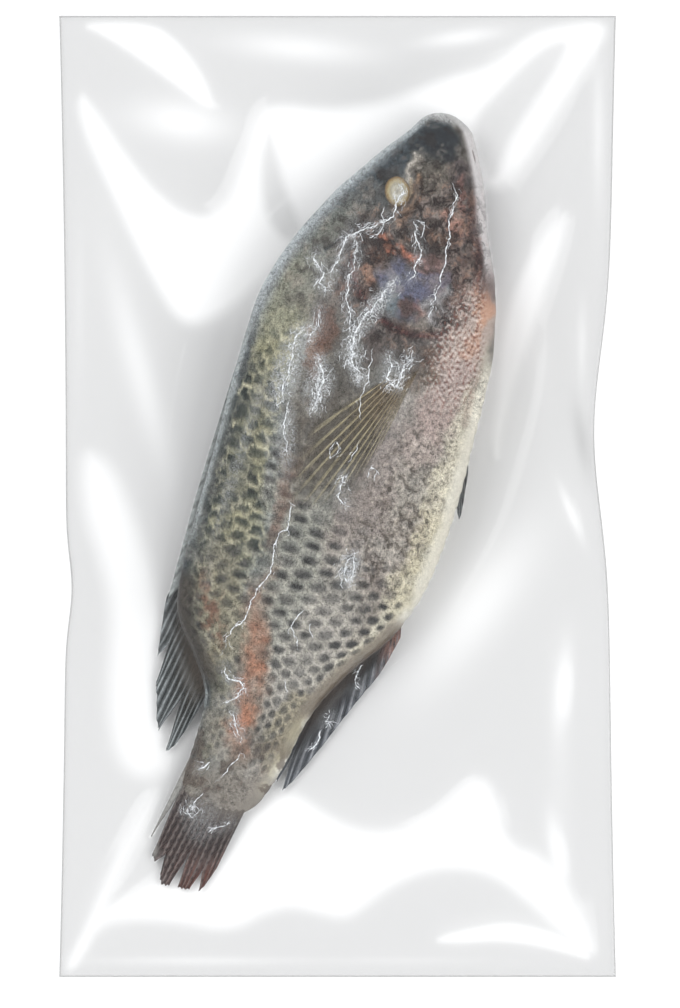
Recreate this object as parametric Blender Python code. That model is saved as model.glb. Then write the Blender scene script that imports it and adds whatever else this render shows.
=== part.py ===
"""A whole raw fish sealed in a clear flat pouch, lying on its side.

Metres, +Z up. The pouch lies on the plane Z = 0 with its long side along Y. The fish lies in it
on its left flank, its head towards +Y and its back towards -X.
"""
import math

import bmesh
import bpy
from mathutils import Vector

MM = 0.001
SHARP_ANGLE = math.radians(50)

# Pouch: a flat bag, sealed round its edge and pulled in at the sides by what it holds
POUCH_WIDTH = 205 * MM
POUCH_LENGTH = 354 * MM
POUCH_CELL = 7.1 * MM
SEAL_WIDTH = 7 * MM
SEAL_THICKNESS = 0.8 * MM
SLACK_THICKNESS = 1.8 * MM
WAIST = 2.4 * MM
LEFT_TUCK = (2.2 * MM, -34 * MM, 16 * MM)
RIGHT_TUCK = (5.6 * MM, 24 * MM, 40 * MM)
DRAPE_REACH = 1.45
DRAPE_SHARE = 0.94
FREE_START = 0.6
POCKET_GAP = 0.5 * MM
POCKET_TOP = 50 * MM

# Long soft folds in the free film, in millimetres: both ends of the ridge line, its height, and
# its half width at each end
FOLDS = (
    ((-99, 173), (-40, 134), 4.4, 6, 13),
    ((-96, 148), (-18, 92), 5.4, 5, 20),
    ((99, 173), (50, 124), 5.6, 4, 15),
    ((96, 166), (72, 70), 4.6, 5, 13),
    ((-99, -172), (-66, -104), 5.2, 4, 14),
    ((-90, -160), (-6, -153), 4.0, 6, 11),
    ((98, -171), (44, -116), 5.6, 4, 22),
    ((94, -166), (36, -161), 3.4, 4, 9),
    ((-34, 166), (58, 163), 3.6, 8, 10),
    ((-88, 50), (-84, -76), 3.8, 8, 13),
    ((86, 36), (84, -96), 3.6, 7, 12),
    ((66, -14), (42, -96), 3.4, 11, 18),
)

# Each fold starts low, rises at one rate and falls away at another
FOLD_TIP = 0.2
FOLD_RISE = 3.0
FOLD_FALL = 2.4

# Fish: where it lies in the pouch, and its size
SNOUT = Vector((36.0 * MM, 140.4 * MM))
HEADING = math.radians(-107.1)
BODY_LENGTH = 272 * MM
REST_HEIGHT = 0.9 * MM
SNOUT_ROUNDING = 5 * MM
TAIL_ROUNDING = 12 * MM
FLANK_FULLNESS = 1.12
RINGS = 46
RING_POINTS = 30
RING_CROWDING = 0.09

# Sections of the body, in millimetres: distance from the snout, edge of the back, edge of the
# belly, half thickness, and height of the middle plane
BODY_STATIONS = (
    (0, 2.4, -12.0, 6.2, 11.5),
    (8, 6.4, -17.6, 9.0, 12.8),
    (20, 15.4, -24.2, 12.0, 14.6),
    (36, 25.6, -30.8, 15.2, 16.6),
    (55, 34.8, -39.6, 18.6, 18.8),
    (80, 42.2, -46.4, 20.8, 20.2),
    (110, 42.8, -48.6, 20.6, 20.0),
    (140, 41.6, -49.8, 18.8, 18.4),
    (168, 40.9, -47.8, 15.8, 15.7),
    (188, 39.8, -41.4, 13.2, 13.4),
    (203, 36.6, -31.6, 11.2, 11.6),
    (216, 26.4, -24.6, 9.2, 9.8),
    (228, 18.4, -20.2, 7.6, 8.4),
    (244, 16.8, -17.4, 6.0, 7.0),
    (258, 17.2, -13.6, 4.4, 5.6),
    (272, 18.4, -7.6, 2.8, 4.2),
)

# Head, as distance from the snout and offset towards the back
EYE_CENTRE = (32.4 * MM, 4.6 * MM)
EYE_RADIUS = 6.2 * MM
EYE_SINK = 3.6 * MM
ORBIT_RADIUS = 7.6 * MM
ORBIT_TUBE = 1.7 * MM
ORBIT_SINK = 0.5 * MM
GILL_CENTRE = (58 * MM, -12 * MM)
GILL_REACH = (27 * MM, 22 * MM)
GILL_THICKNESS = 3.6 * MM
CHEEK_CENTRE = (33 * MM, -14 * MM)
CHEEK_REACH = (15 * MM, 11 * MM)
CHEEK_THICKNESS = 3.0 * MM
PLATE_FULLNESS = 0.6
LIPS = {
    "upper lip": ((-0.4, -1.4), (6.0, -8.0), (15.5, -14.6)),
    "lower lip": ((1.2, -8.4), (9.0, -17.6), (19.5, -21.4)),
}
LIP_RADIUS = 1.7 * MM
LIP_POINTS = 9
LIP_SINK = 0.7 * MM
LIP_TIP = 0.45

# Fins
FIN_THICKNESS = 1.1 * MM
FIN_PLATE_ROWS = 4
RAY_RELIEF = 0.3 * MM
RAY_NOTCH = 0.07
FIN_FLOOR = 1.6 * MM

# A fin is its root line and its free edge, each the control points of a curve, in millimetres from
# the snout and towards the back, then its number of rays
FINS = {
    "tail": (
        ((252, 15), (254, -12)),
        ((284, 23), (298, 22), (305, 10), (302, -4), (279, -8.2)),
        15,
    ),
    "soft_dorsal": (((184, 40), (224, 15)), ((194, 46.8), (222, 43), (250, 39), (252, 23.4)), 12),
    "spiny_dorsal": (((58, 34), (120, 41), (190, 37)), ((68, 40.6), (118, 47.8), (198, 44.0)), 16),
    "anal": (((178, -40), (250, -12)), ((190, -45.8), (210, -43.6), (232, -34), (256, -19.6)), 13),
    "pelvic": (((90, -40), (100, -40)), ((126, -51.4), (142, -54.4), (136, -49.8)), 5),
}

# The near pectoral fin lies flat on the flank
PECTORAL_ROOT = ((97, -23.5), (102, -17))
PECTORAL_EDGE = ((121, -19), (152, -12), (154, 10), (118, 6.5))
PECTORAL_RAYS = 11
PECTORAL_LIFT = 0.5 * MM


def remove_everything():
    for existing in list(bpy.data.objects):
        bpy.data.objects.remove(existing)


def curve_at(points, share):
    """The point at this share of a Bezier curve, from its control points."""
    points = [Vector(point) for point in points]
    while len(points) > 1:
        points = [low.lerp(high, share) for low, high in zip(points, points[1:])]
    return points[0]


def section_at(distance):
    """The back edge, belly edge, half thickness and middle height of the body, in metres."""
    place = min(max(distance / MM, BODY_STATIONS[0][0]), BODY_STATIONS[-1][0])
    last = len(BODY_STATIONS) - 1
    i = next(k for k in range(last) if place <= BODY_STATIONS[k + 1][0])
    before, low = BODY_STATIONS[max(i - 1, 0)], BODY_STATIONS[i]
    high, after = BODY_STATIONS[i + 1], BODY_STATIONS[min(i + 2, last)]
    span = high[0] - low[0]
    share = (place - low[0]) / span
    values = []
    for k in range(1, len(low)):
        start = (high[k] - before[k]) / (high[0] - before[0]) * span
        end = (after[k] - low[k]) / (after[0] - low[0]) * span
        rise = high[k] - low[k]
        curl = 3 * rise - 2 * start - end + (start + end - 2 * rise) * share
        values.append((low[k] + share * (start + share * curl)) * MM)
    return values


def end_rounding(distance):
    """The share of its full section that the body has, less than 1 near its two ends."""
    snout = min(1.0, max(0.0, distance / SNOUT_ROUNDING))
    tail = min(1.0, max(0.0, (BODY_LENGTH - distance) / TAIL_ROUNDING))
    return math.sqrt(1 - (1 - snout) ** 2) * math.sqrt(1 - (1 - tail) ** 2)


def lie(distance, offset, height=0.0):
    """A point given along the fish and towards its back, as a point in the pouch's frame."""
    along = Vector((math.cos(HEADING), math.sin(HEADING)))
    to_back = Vector((along.y, -along.x))
    spot = SNOUT + along * distance + to_back * offset
    return Vector((spot.x, spot.y, height))


def along_and_across(x, y):
    """The distance from the snout and the offset towards the back of a point of the frame."""
    along = Vector((math.cos(HEADING), math.sin(HEADING)))
    to_back = Vector((along.y, -along.x))
    spot = Vector((x, y)) - SNOUT
    return spot.dot(along), spot.dot(to_back)


def body_point(distance, angle, grown):
    """A point of the body's skin: 0 degrees is the back, 90 degrees the upper flank."""
    back, belly, half, middle = section_at(distance)
    full = end_rounding(distance)
    offset = (back + belly) / 2 + ((back - belly) / 2 * full + grown) * math.cos(angle)
    bulge = math.copysign(abs(math.sin(angle)) ** FLANK_FULLNESS, math.sin(angle))
    height = middle + (half * full + grown) * bulge
    return lie(distance, offset, max(REST_HEIGHT - grown, height))


def flank_height(distance, offset):
    """The height of the upper flank over a point of the fish's plan."""
    back, belly, half, middle = section_at(distance)
    full = end_rounding(distance)
    share = (offset - (back + belly) / 2) / ((back - belly) / 2 * full + 1e-9)
    return middle + half * full * max(0.0, 1 - share * share) ** (FLANK_FULLNESS / 2)


def film_height(distance, offset):
    """The height at which the two plies meet beside the fish, falling away from its outline."""
    back, belly, half, middle = section_at(distance)
    beyond = max(-distance, distance - BODY_LENGTH, 0.0)
    beside = max(offset - back, belly - offset, 0.0)
    share = min(1.0, math.hypot(beyond, beside) / (middle * DRAPE_REACH))
    return middle * DRAPE_SHARE * (1 - share) ** 2


def new_object(name, bm, collection):
    bmesh.ops.recalc_face_normals(bm, faces=bm.faces)
    mesh = bpy.data.meshes.new(name)
    bm.to_mesh(mesh)
    bm.free()
    mesh.shade_smooth()
    made = bpy.data.objects.new(name, mesh)
    collection.objects.link(made)
    return made


def body_mesh(grown=0.0):
    """Head and trunk: a sphere whose poles become the snout and the root of the tail."""
    bm = bmesh.new()
    bmesh.ops.create_uvsphere(bm, u_segments=RING_POINTS, v_segments=RINGS, radius=1.0)
    for vert in bm.verts:
        turn = math.acos(max(-1.0, min(1.0, vert.co.z))) / math.pi
        share = turn - RING_CROWDING * math.sin(2 * math.pi * turn)
        reached = share * (BODY_LENGTH + 2 * grown) - grown
        distance = min(max(reached, 0.0), BODY_LENGTH)
        pole = abs(vert.co.z) > 1 - 1e-6
        angle = math.atan2(vert.co.y, vert.co.x)
        spot = body_point(distance, angle, 0.0 if pole else grown)
        vert.co = spot + lie(reached, 0) - lie(distance, 0)
    return bm


def draped_lens(centre, reach, thickness, rings=10, points=24):
    """A flat rounded plate of bone that follows the upper flank."""
    bm = bmesh.new()
    bmesh.ops.create_uvsphere(bm, u_segments=points, v_segments=rings, radius=1.0)
    for vert in bm.verts:
        distance = centre[0] + vert.co.x * reach[0]
        offset = centre[1] + vert.co.y * reach[1]
        rise = math.copysign(abs(vert.co.z) ** PLATE_FULLNESS, vert.co.z) * thickness / 2
        vert.co = lie(distance, offset, flank_height(distance, offset) + rise)
    return bm


def eye_mesh():
    bm = bmesh.new()
    bmesh.ops.create_uvsphere(bm, u_segments=18, v_segments=10, radius=EYE_RADIUS)
    height = flank_height(*EYE_CENTRE) - EYE_SINK
    bmesh.ops.translate(bm, verts=bm.verts, vec=lie(*EYE_CENTRE, height))
    return bm


def ring_tube(centre, radius, tube, sides=6, points=22):
    """A closed tube round a point of the flank, following the flank's height."""
    bm = bmesh.new()
    start = bmesh.ops.create_circle(bm, segments=sides, radius=tube, cap_ends=False)
    for vert in start["verts"]:
        vert.co = Vector((radius + vert.co.x, 0, vert.co.y))
    bmesh.ops.spin(
        bm,
        geom=bm.verts[:] + bm.edges[:],
        axis=(0, 0, 1),
        cent=(0, 0, 0),
        angle=2 * math.pi,
        steps=points,
        use_merge=True,
    )
    for vert in bm.verts:
        distance, offset = centre[0] + vert.co.x, centre[1] + vert.co.y
        vert.co = lie(distance, offset, flank_height(distance, offset) + vert.co.z - ORBIT_SINK)
    return bm


def lip_mesh(line, grown=0.0):
    """A fleshy lip: a round tube along the front of the head, its ends tapered and filled."""
    curve = bpy.data.curves.new("lip", "CURVE")
    curve.dimensions = "3D"
    curve.bevel_depth = LIP_RADIUS + grown
    curve.bevel_resolution = 2
    curve.use_fill_caps = True
    spline = curve.splines.new("POLY")
    spline.points.add(LIP_POINTS - 1)
    for i, point in enumerate(spline.points):
        share = i / (LIP_POINTS - 1)
        spot = curve_at(line, share) * MM
        height = max(section_at(spot.x)[3], flank_height(spot.x, spot.y)) - LIP_SINK
        point.co = (*lie(spot.x, spot.y, height), 1.0)
        point.radius = LIP_TIP + (1 - LIP_TIP) * math.sin(math.pi * share)
    holder = bpy.data.objects.new("lip", curve)
    bpy.context.scene.collection.objects.link(holder)
    bpy.context.view_layer.update()
    mesh = bpy.data.meshes.new_from_object(holder.evaluated_get(bpy.context.evaluated_depsgraph_get()))
    bm = bmesh.new()
    bm.from_mesh(mesh)
    bmesh.ops.remove_doubles(bm, verts=bm.verts, dist=1e-6)
    bpy.data.objects.remove(holder)
    bpy.data.meshes.remove(mesh)
    return bm


def fin_ray(root, edge, across):
    """The two ends of a ray in plan, in metres, and the direction from ray to ray."""
    low, high = curve_at(root, across) * MM, curve_at(edge, across) * MM
    ray = (high - low).normalized()
    side = Vector((-ray.y, ray.x))
    if side.dot(curve_at(edge, 1) - curve_at(edge, 0)) < 0:
        side = -side
    return low, high, side


def drooping(low, high, share):
    """A fin held between the plies sinks evenly from the body towards its free edge."""
    start = film_height(*low)
    return start + (max(FIN_FLOOR, film_height(*high)) - start) * share


def on_flank(low, high, share):
    return flank_height(*low.lerp(high, share)) + PECTORAL_LIFT


def fin_mesh(root, edge, rays, height_at, grown=0.0):
    """A fin as a thin closed plate, ridged along its rays, or the clear space that it needs."""
    bm = bmesh.new()
    bmesh.ops.create_grid(bm, x_segments=2 * rays, y_segments=FIN_PLATE_ROWS, size=0.5)
    lower = list(bm.verts)
    made = bmesh.ops.extrude_face_region(bm, geom=bm.faces[:], use_keep_orig=True)
    upper = [item for item in made["geom"] if isinstance(item, bmesh.types.BMVert)]
    above = {(round(vert.co.x, 6), round(vert.co.y, 6)): vert for vert in upper}
    for vert in lower:
        across, along = vert.co.x + 0.5, vert.co.y + 0.5
        top = above[round(vert.co.x, 6), round(vert.co.y, 6)]
        on_ray = bool(round(across * 2 * rays) % 2) and not grown
        reach = along if on_ray or grown else along * (1 - RAY_NOTCH * along ** 3)
        low, high, side = fin_ray(root, edge, across)
        spread = (high - low).normalized() * (2 * along - 1) + side * (2 * across - 1)
        spot = low.lerp(high, reach) + spread * grown
        height = height_at(low, high, reach)
        ridge = RAY_RELIEF if on_ray else 0.0
        vert.co = lie(*spot, height - FIN_THICKNESS / 2 - grown)
        top.co = lie(*spot, POCKET_TOP if grown else height + FIN_THICKNESS / 2 + ridge)
    return bm


def joined(base, pieces):
    """Fuses a collection's solids to the base by one union, and removes them."""
    union = base.modifiers.new("fused", "BOOLEAN")
    union.operation = "UNION"
    union.operand_type = "COLLECTION"
    union.collection = pieces
    bpy.context.view_layer.update()
    graph = bpy.context.evaluated_depsgraph_get()
    fused = bpy.data.meshes.new_from_object(base.evaluated_get(graph))
    base.modifiers.remove(union)
    base.data = fused
    for piece in list(pieces.objects):
        bpy.data.objects.remove(piece)
    bpy.data.collections.remove(pieces)
    fused.shade_smooth()
    fused.set_sharp_from_angle(angle=SHARP_ANGLE)


def make_fish(parts):
    """The fish: body, bones of the head, eye, lips and fins in one solid."""
    fish = new_object("fish", body_mesh(), parts)
    pieces = bpy.data.collections.new("fish pieces")
    bpy.context.scene.collection.children.link(pieces)
    for name, (root, edge, rays) in FINS.items():
        new_object(name, fin_mesh(root, edge, rays, drooping), pieces)
    pectoral = fin_mesh(PECTORAL_ROOT, PECTORAL_EDGE, PECTORAL_RAYS, on_flank)
    new_object("pectoral fin", pectoral, pieces)
    new_object("gill cover", draped_lens(GILL_CENTRE, GILL_REACH, GILL_THICKNESS), pieces)
    new_object("cheek", draped_lens(CHEEK_CENTRE, CHEEK_REACH, CHEEK_THICKNESS), pieces)
    new_object("eye", eye_mesh(), pieces)
    new_object("orbit", ring_tube(EYE_CENTRE, ORBIT_RADIUS, ORBIT_TUBE), pieces)
    for name, line in LIPS.items():
        new_object(name, lip_mesh(line), pieces)
    joined(fish, pieces)
    return fish


def side_edge(y, side):
    """How far the pouch's side lies from its middle line: -1 is its left side, 1 its right."""
    depth, place, reach = LEFT_TUCK if side < 0 else RIGHT_TUCK
    share = 2 * y / POUCH_LENGTH
    tuck = depth * math.exp(-(((y - place) / reach) ** 2))
    return POUCH_WIDTH / 2 - WAIST * (1 - share * share) - tuck


def fold_height(x, y):
    """The height that the long folds add to the free film."""
    spot = Vector((x, y)) / MM
    total = 0.0
    for start, end, height, narrow, wide in FOLDS:
        line = Vector(end) - Vector(start)
        share = (spot - Vector(start)).dot(line) / line.length_squared
        held = min(1.0, max(0.0, share))
        away = (spot - Vector(start) - line * held).length / (narrow + (wide - narrow) * held)
        taper = min(1.0, FOLD_TIP + FOLD_RISE * held) * min(1.0, FOLD_TIP + FOLD_FALL * (1 - held))
        total = max(total, height * taper * math.exp(-away * away))
    return total * MM


def pouch_top(x, y, edge_distance):
    """The height of the pouch's upper face."""
    free = min(1.0, max(0.0, edge_distance / SEAL_WIDTH - FREE_START))
    free = free * free * (3 - 2 * free)
    slack = SEAL_THICKNESS + (SLACK_THICKNESS - SEAL_THICKNESS + fold_height(x, y)) * free
    return max(slack, film_height(*along_and_across(x, y)) * free)


def pouch_mesh():
    """The two plies and what lies between them, down to the flat underside."""
    bm = bmesh.new()
    columns = round(POUCH_WIDTH / POUCH_CELL)
    rows = round(POUCH_LENGTH / POUCH_CELL)
    bmesh.ops.create_grid(bm, x_segments=columns, y_segments=rows, size=0.5)
    top = list(bm.verts)
    made = bmesh.ops.extrude_face_region(bm, geom=bm.faces[:], use_keep_orig=True)
    low = [item for item in made["geom"] if isinstance(item, bmesh.types.BMVert)]
    for vert in low + top:
        across, y = 2 * vert.co.x, vert.co.y * POUCH_LENGTH
        reach = side_edge(y, across)
        vert.co = Vector((across * reach, y, 0.0))
    for vert in top:
        x, y = vert.co.x, vert.co.y
        edge_distance = min(side_edge(y, x) - abs(x), POUCH_LENGTH / 2 - abs(y))
        vert.co.z = pouch_top(x, y, edge_distance)
    flat = set(low)
    under = [face for face in bm.faces if flat.issuperset(face.verts)]
    bmesh.ops.dissolve_faces(bm, faces=under)
    return bm


def make_pouch(parts, cutters):
    """The pouch, with a pocket that the fish's lower half and its fins lie in."""
    pouch = new_object("pouch", pouch_mesh(), parts)
    new_object("body pocket", body_mesh(POCKET_GAP), cutters)
    for name, (root, edge, rays) in FINS.items():
        space = fin_mesh(root, edge, rays, drooping, 2 * POCKET_GAP)
        new_object(name + " pocket", space, cutters)
    cut = pouch.modifiers.new("pocket", "BOOLEAN")
    cut.operation = "DIFFERENCE"
    cut.operand_type = "COLLECTION"
    cut.collection = cutters
    for name, line in LIPS.items():
        new_object(name + " pocket", lip_mesh(line, 2 * POCKET_GAP), cutters)
    for cutter in cutters.objects:
        cutter.hide_render = True
        cutter.display_type = "WIRE"
    return pouch


def coat(made, name, colour, roughness):
    material = bpy.data.materials.new(name)
    material.use_nodes = True
    shader = material.node_tree.nodes["Principled BSDF"]
    shader.inputs["Base Color"].default_value = (*colour[:3], 1.0)
    shader.inputs["Roughness"].default_value = roughness
    shader.inputs["Alpha"].default_value = colour[3]
    shader.inputs["Metallic"].default_value = 0.0
    made.data.materials.clear()
    made.data.materials.append(material)


def make_collection(name):
    collection = bpy.data.collections.new(name)
    bpy.context.scene.collection.children.link(collection)
    return collection


remove_everything()
sealed_fish = make_collection("sealed fish")
pocket_cutters = make_collection("cutters")
coat(make_fish(sealed_fish), "wet fish skin", (0.20, 0.18, 0.14, 1.0), 0.35)
coat(make_pouch(sealed_fish, pocket_cutters), "clear film", (0.93, 0.94, 0.95, 0.35), 0.15)
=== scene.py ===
import math

import bmesh
import bpy
import numpy as np
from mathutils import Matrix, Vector
from mathutils.bvhtree import BVHTree


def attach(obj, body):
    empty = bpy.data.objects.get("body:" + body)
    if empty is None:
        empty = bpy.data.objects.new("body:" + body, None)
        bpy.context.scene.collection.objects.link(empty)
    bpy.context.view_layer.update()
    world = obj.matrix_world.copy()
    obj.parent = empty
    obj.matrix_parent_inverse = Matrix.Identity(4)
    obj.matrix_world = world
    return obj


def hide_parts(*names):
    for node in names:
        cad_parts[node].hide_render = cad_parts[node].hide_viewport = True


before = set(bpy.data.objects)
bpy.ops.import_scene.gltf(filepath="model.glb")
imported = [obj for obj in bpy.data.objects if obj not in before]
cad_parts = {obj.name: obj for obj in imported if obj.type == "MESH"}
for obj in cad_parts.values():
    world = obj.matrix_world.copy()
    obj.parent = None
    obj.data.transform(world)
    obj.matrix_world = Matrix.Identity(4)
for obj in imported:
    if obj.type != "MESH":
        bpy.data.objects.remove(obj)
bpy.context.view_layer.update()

MM = 0.001

# The studio: a camera straight above the pouch, far off behind a long lens so that the fish
# isn't swollen by perspective, two large soft lights, a narrow strip and a bright even room.
CAMERA_HEIGHT = 4.0
VIEW_LENGTH = 0.3704
VIEW_CENTRE = Vector((0.9 * MM, -2.8 * MM, 0.0))
FOCUS_LEVEL = 0.01

camera_data = bpy.data.cameras.new("camera")
camera_data.lens = camera_data.sensor_width * (CAMERA_HEIGHT - FOCUS_LEVEL) / VIEW_LENGTH
camera_data.clip_end = 50
camera = bpy.data.objects.new("camera", camera_data)
camera.location = VIEW_CENTRE + Vector((0, 0, CAMERA_HEIGHT))
bpy.context.scene.collection.objects.link(camera)
bpy.context.scene.camera = camera
bpy.context.scene.view_settings.view_transform = "Standard"


def soft_light(name, place, width, length, power):
    """A rectangular soft box that faces the middle of the pouch."""
    lamp = bpy.data.lights.new(name, "AREA")
    lamp.shape = "RECTANGLE"
    lamp.size, lamp.size_y = width, length
    lamp.energy = power
    holder = bpy.data.objects.new(name, lamp)
    holder.location = place
    holder.rotation_euler = (-Vector(place)).to_track_quat("-Z", "Y").to_euler()
    bpy.context.scene.collection.objects.link(holder)


soft_light("key", (-1.3, 1.2, 2.4), 1.5, 1.5, 27)
soft_light("fill", (1.7, -0.5, 2.1), 1.3, 1.8, 20)
soft_light("strip", (0.3, -2.2, 1.4), 2.2, 0.35, 10)

room = bpy.data.worlds.new("room")
room.use_nodes = True
room.node_tree.nodes["Background"].inputs["Color"].default_value = (0.98, 0.99, 1.0, 1.0)
room.node_tree.nodes["Background"].inputs["Strength"].default_value = 0.88
bpy.context.scene.world = room


# The floor: a plain pale matt sheet under the pouch, much wider than the view. It is the
# stage and no part of the object.
class Shade:
    """A socket in a material's tree. Sums on it add Math nodes, and node() adds any other."""

    def __init__(self, tree, socket=None):
        self.tree = tree
        self.socket = socket

    def feed(self, target, value):
        if isinstance(value, Shade):
            self.tree.links.new(value.socket, target)
        elif hasattr(target.default_value, "__len__") and len(target.default_value) == 4:
            target.default_value = (*value[:3], 1.0)
        else:
            target.default_value = value

    def node(self, kind, settings=None, values=None, output=0):
        made = self.tree.nodes.new(kind)
        for name, setting in (settings or {}).items():
            if name == "stops":
                for spare in range(len(setting) - 2):
                    made.color_ramp.elements.new(0.5)
                for element, (place, colour) in zip(made.color_ramp.elements, setting):
                    element.position = place
                    element.color = (*colour, 1.0)
            else:
                setattr(made, name, setting)
        for name, value in (values or {}).items():
            self.feed(made.inputs[name], value)
        return Shade(self.tree, made.outputs[output])

    def math(self, operation, *terms):
        return self.node("ShaderNodeMath", {"operation": operation}, dict(enumerate(terms)))

    def __add__(self, other):
        return self.math("ADD", self, other)

    def __radd__(self, other):
        return self.math("ADD", other, self)

    def __sub__(self, other):
        return self.math("SUBTRACT", self, other)

    def __rsub__(self, other):
        return self.math("SUBTRACT", other, self)

    def __mul__(self, other):
        return self.math("MULTIPLY", self, other)

    def __rmul__(self, other):
        return self.math("MULTIPLY", other, self)

    def wave(self):
        return self.math("SINE", self)

    def held(self):
        """Kept between 0 and 1."""
        return self.node("ShaderNodeClamp", None, {"Value": self})

    def step(self, low, high):
        """0 at low and 1 at high, with a smooth run between; low may be the greater."""
        values = {"Value": self, "From Min": low, "From Max": high}
        return self.node("ShaderNodeMapRange", {"interpolation_type": "SMOOTHSTEP"}, values)

    def stored(self, name, output="Fac"):
        """What the mesh holds for each of its points under this name."""
        return self.node("ShaderNodeAttribute", {"attribute_name": name}, None, output)

    def ramp(self, *stops):
        return self.node("ShaderNodeValToRGB", {"stops": stops}, {"Fac": self})

    def noise(self, scale, detail=3.0, roughness=0.55, output=0, stretch=None):
        """Noise read at this vector."""
        place = self
        if stretch:
            values = {"Vector": self, "Scale": stretch}
            place = self.node("ShaderNodeMapping", {"vector_type": "TEXTURE"}, values)
        values = {"Vector": place, "Scale": scale, "Detail": detail, "Roughness": roughness}
        return self.node("ShaderNodeTexNoise", None, values, output)

    def blend(self, mask, other):
        """This colour with another laid over it by a mask."""
        made = self.tree.nodes.new("ShaderNodeMix")
        made.data_type = "RGBA"
        self.feed(made.inputs[0], mask)
        self.feed(made.inputs[6], self)
        self.feed(made.inputs[7], other)
        return Shade(self.tree, made.outputs[2])

    def shifted(self, other, amount):
        """This vector moved by another vector's distance from the middle grey."""
        centred = self.node(
            "ShaderNodeVectorMath", {"operation": "SUBTRACT"}, {0: other, 1: (0.5, 0.5, 0.5)}
        )
        moved = {0: centred, 1: (amount, amount, amount), 2: self}
        return self.node("ShaderNodeVectorMath", {"operation": "MULTIPLY_ADD"}, moved)


STUDIO_GAIN = 1.28


def srgb(red, green, blue):
    """A colour as it shows on screen under the studio's light, as the one that shaders take."""
    return tuple((value / 255) ** 2.2 / STUDIO_GAIN for value in (red, green, blue))


def new_material(name, **constants):
    """A material with its Principled shader's even values set, and a Shade to build on."""
    material = bpy.data.materials.new(name)
    material.use_nodes = True
    shader = material.node_tree.nodes["Principled BSDF"]
    for socket, value in constants.items():
        shader.inputs[socket.replace("_", " ")].default_value = value
    return material, shader, Shade(material.node_tree)


def mesh_of(name, bm):
    """The mesh of a finished bmesh."""
    mesh = bpy.data.meshes.new(name)
    bm.to_mesh(mesh)
    bm.free()
    return mesh


def finished(name, mesh, material):
    """The object of a finished mesh, its place in its mesh, shaded smooth."""
    mesh.shade_smooth()
    mesh.materials.append(material)
    piece = bpy.data.objects.new(name, mesh)
    bpy.context.scene.collection.objects.link(piece)
    return piece


FLOOR_SIDE = 6.0
FLOOR_LEVEL = -0.6 * MM

material, shader, start = new_material("pale floor", Roughness=0.9)
shader.inputs["Specular IOR Level"].default_value = 0.1
place = start.node("ShaderNodeTexCoord", None, None, "Object")
grain = place.noise(9.0, 4.0)
paper = grain.ramp((0.3, (0.93, 0.93, 0.93)), (0.7, (0.95, 0.95, 0.95)))
start.feed(shader.inputs["Base Color"], paper)
bm = bmesh.new()
bmesh.ops.create_grid(bm, x_segments=12, y_segments=12, size=FLOOR_SIDE / 2)
bmesh.ops.translate(bm, verts=bm.verts, vec=(0, 0, FLOOR_LEVEL))
finished("floor", mesh_of("floor", bm), material)


# The fish's trunk and head: one skin over flesh and bone, lying on its left flank with its upper
# flank towards the camera. Scales overlap in rows from behind the gill cover to the tail, and a
# wet slime dulls them. The plate of the gill cover and the cheek stand a little proud.
SNOUT = (36.0, 140.4)
HEADING = math.radians(-107.1)
ALONG = np.array((math.cos(HEADING), math.sin(HEADING)))
TO_BACK = np.array((ALONG[1], -ALONG[0]))
BODY_LENGTH = 272.0
REST_HEIGHT = 0.7
SNOUT_ROUNDING = 5.0
SNOUT_REACH = 1.5
TAIL_ROUNDING = 12.0
FLANK_FULLNESS = 1.12
RINGS = 356
RING_POINTS = 260
RING_CROWDING = 0.09
UPPER_SHARE = 0.3
SCALE_ROWS = 18
SCALE_LENGTH = 5.9
SCALE_RELIEF = 0.3
SCALE_REACH = 0.74
RIM_FROM = 0.46
RIM_RUN = 0.24
HEART_PLACE = 0.30
HEART_REACH = 0.50
PLATE_RISE = 1.0
CHEEK_RISE = 0.7
SOCKET_DEPTH = 1.3
GILL_RISE = 0.5
GROOVE_DEPTH = 0.5

# A place on the fish is its distance from the snout and its offset towards the back, and sizes are
# in millimetres. Here they are distance, edge of the back, edge of the belly, half thickness and
# height of the middle plane, as in the solid but for a thinner root of the tail.
BODY_STATIONS = np.array((
    (0, 2.4, -12.0, 6.2, 11.5),
    (8, 6.4, -17.6, 9.0, 12.8),
    (20, 15.4, -24.2, 12.0, 14.6),
    (36, 25.6, -30.8, 15.2, 16.6),
    (55, 34.8, -39.6, 18.6, 18.8),
    (80, 42.2, -46.4, 20.8, 20.2),
    (110, 42.8, -48.6, 20.6, 20.0),
    (140, 41.6, -49.8, 18.8, 18.4),
    (168, 40.9, -47.8, 15.8, 15.7),
    (188, 39.8, -41.4, 13.2, 13.4),
    (203, 36.6, -31.6, 11.2, 11.6),
    (216, 26.4, -24.6, 9.2, 9.8),
    (228, 18.4, -20.2, 7.6, 8.4),
    (244, 16.8, -17.4, 5.4, 6.6),
    (258, 17.2, -13.6, 2.9, 4.4),
    (272, 18.4, -7.6, 0.9, 2.6),
))


def smooth(share):
    """0 to 1 with a level start and end, for arrays."""
    share = np.clip(share, 0.0, 1.0)
    return share * share * (3 - 2 * share)


def chance(*numbers):
    """An even random number from 0 to 1 that belongs to these whole numbers, for arrays."""
    mixed = sum(number * factor for number, factor in zip(numbers, (127.1, 311.7, 74.7)))
    spread = np.sin(mixed) * 43758.5453
    return spread - np.floor(spread)


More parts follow.
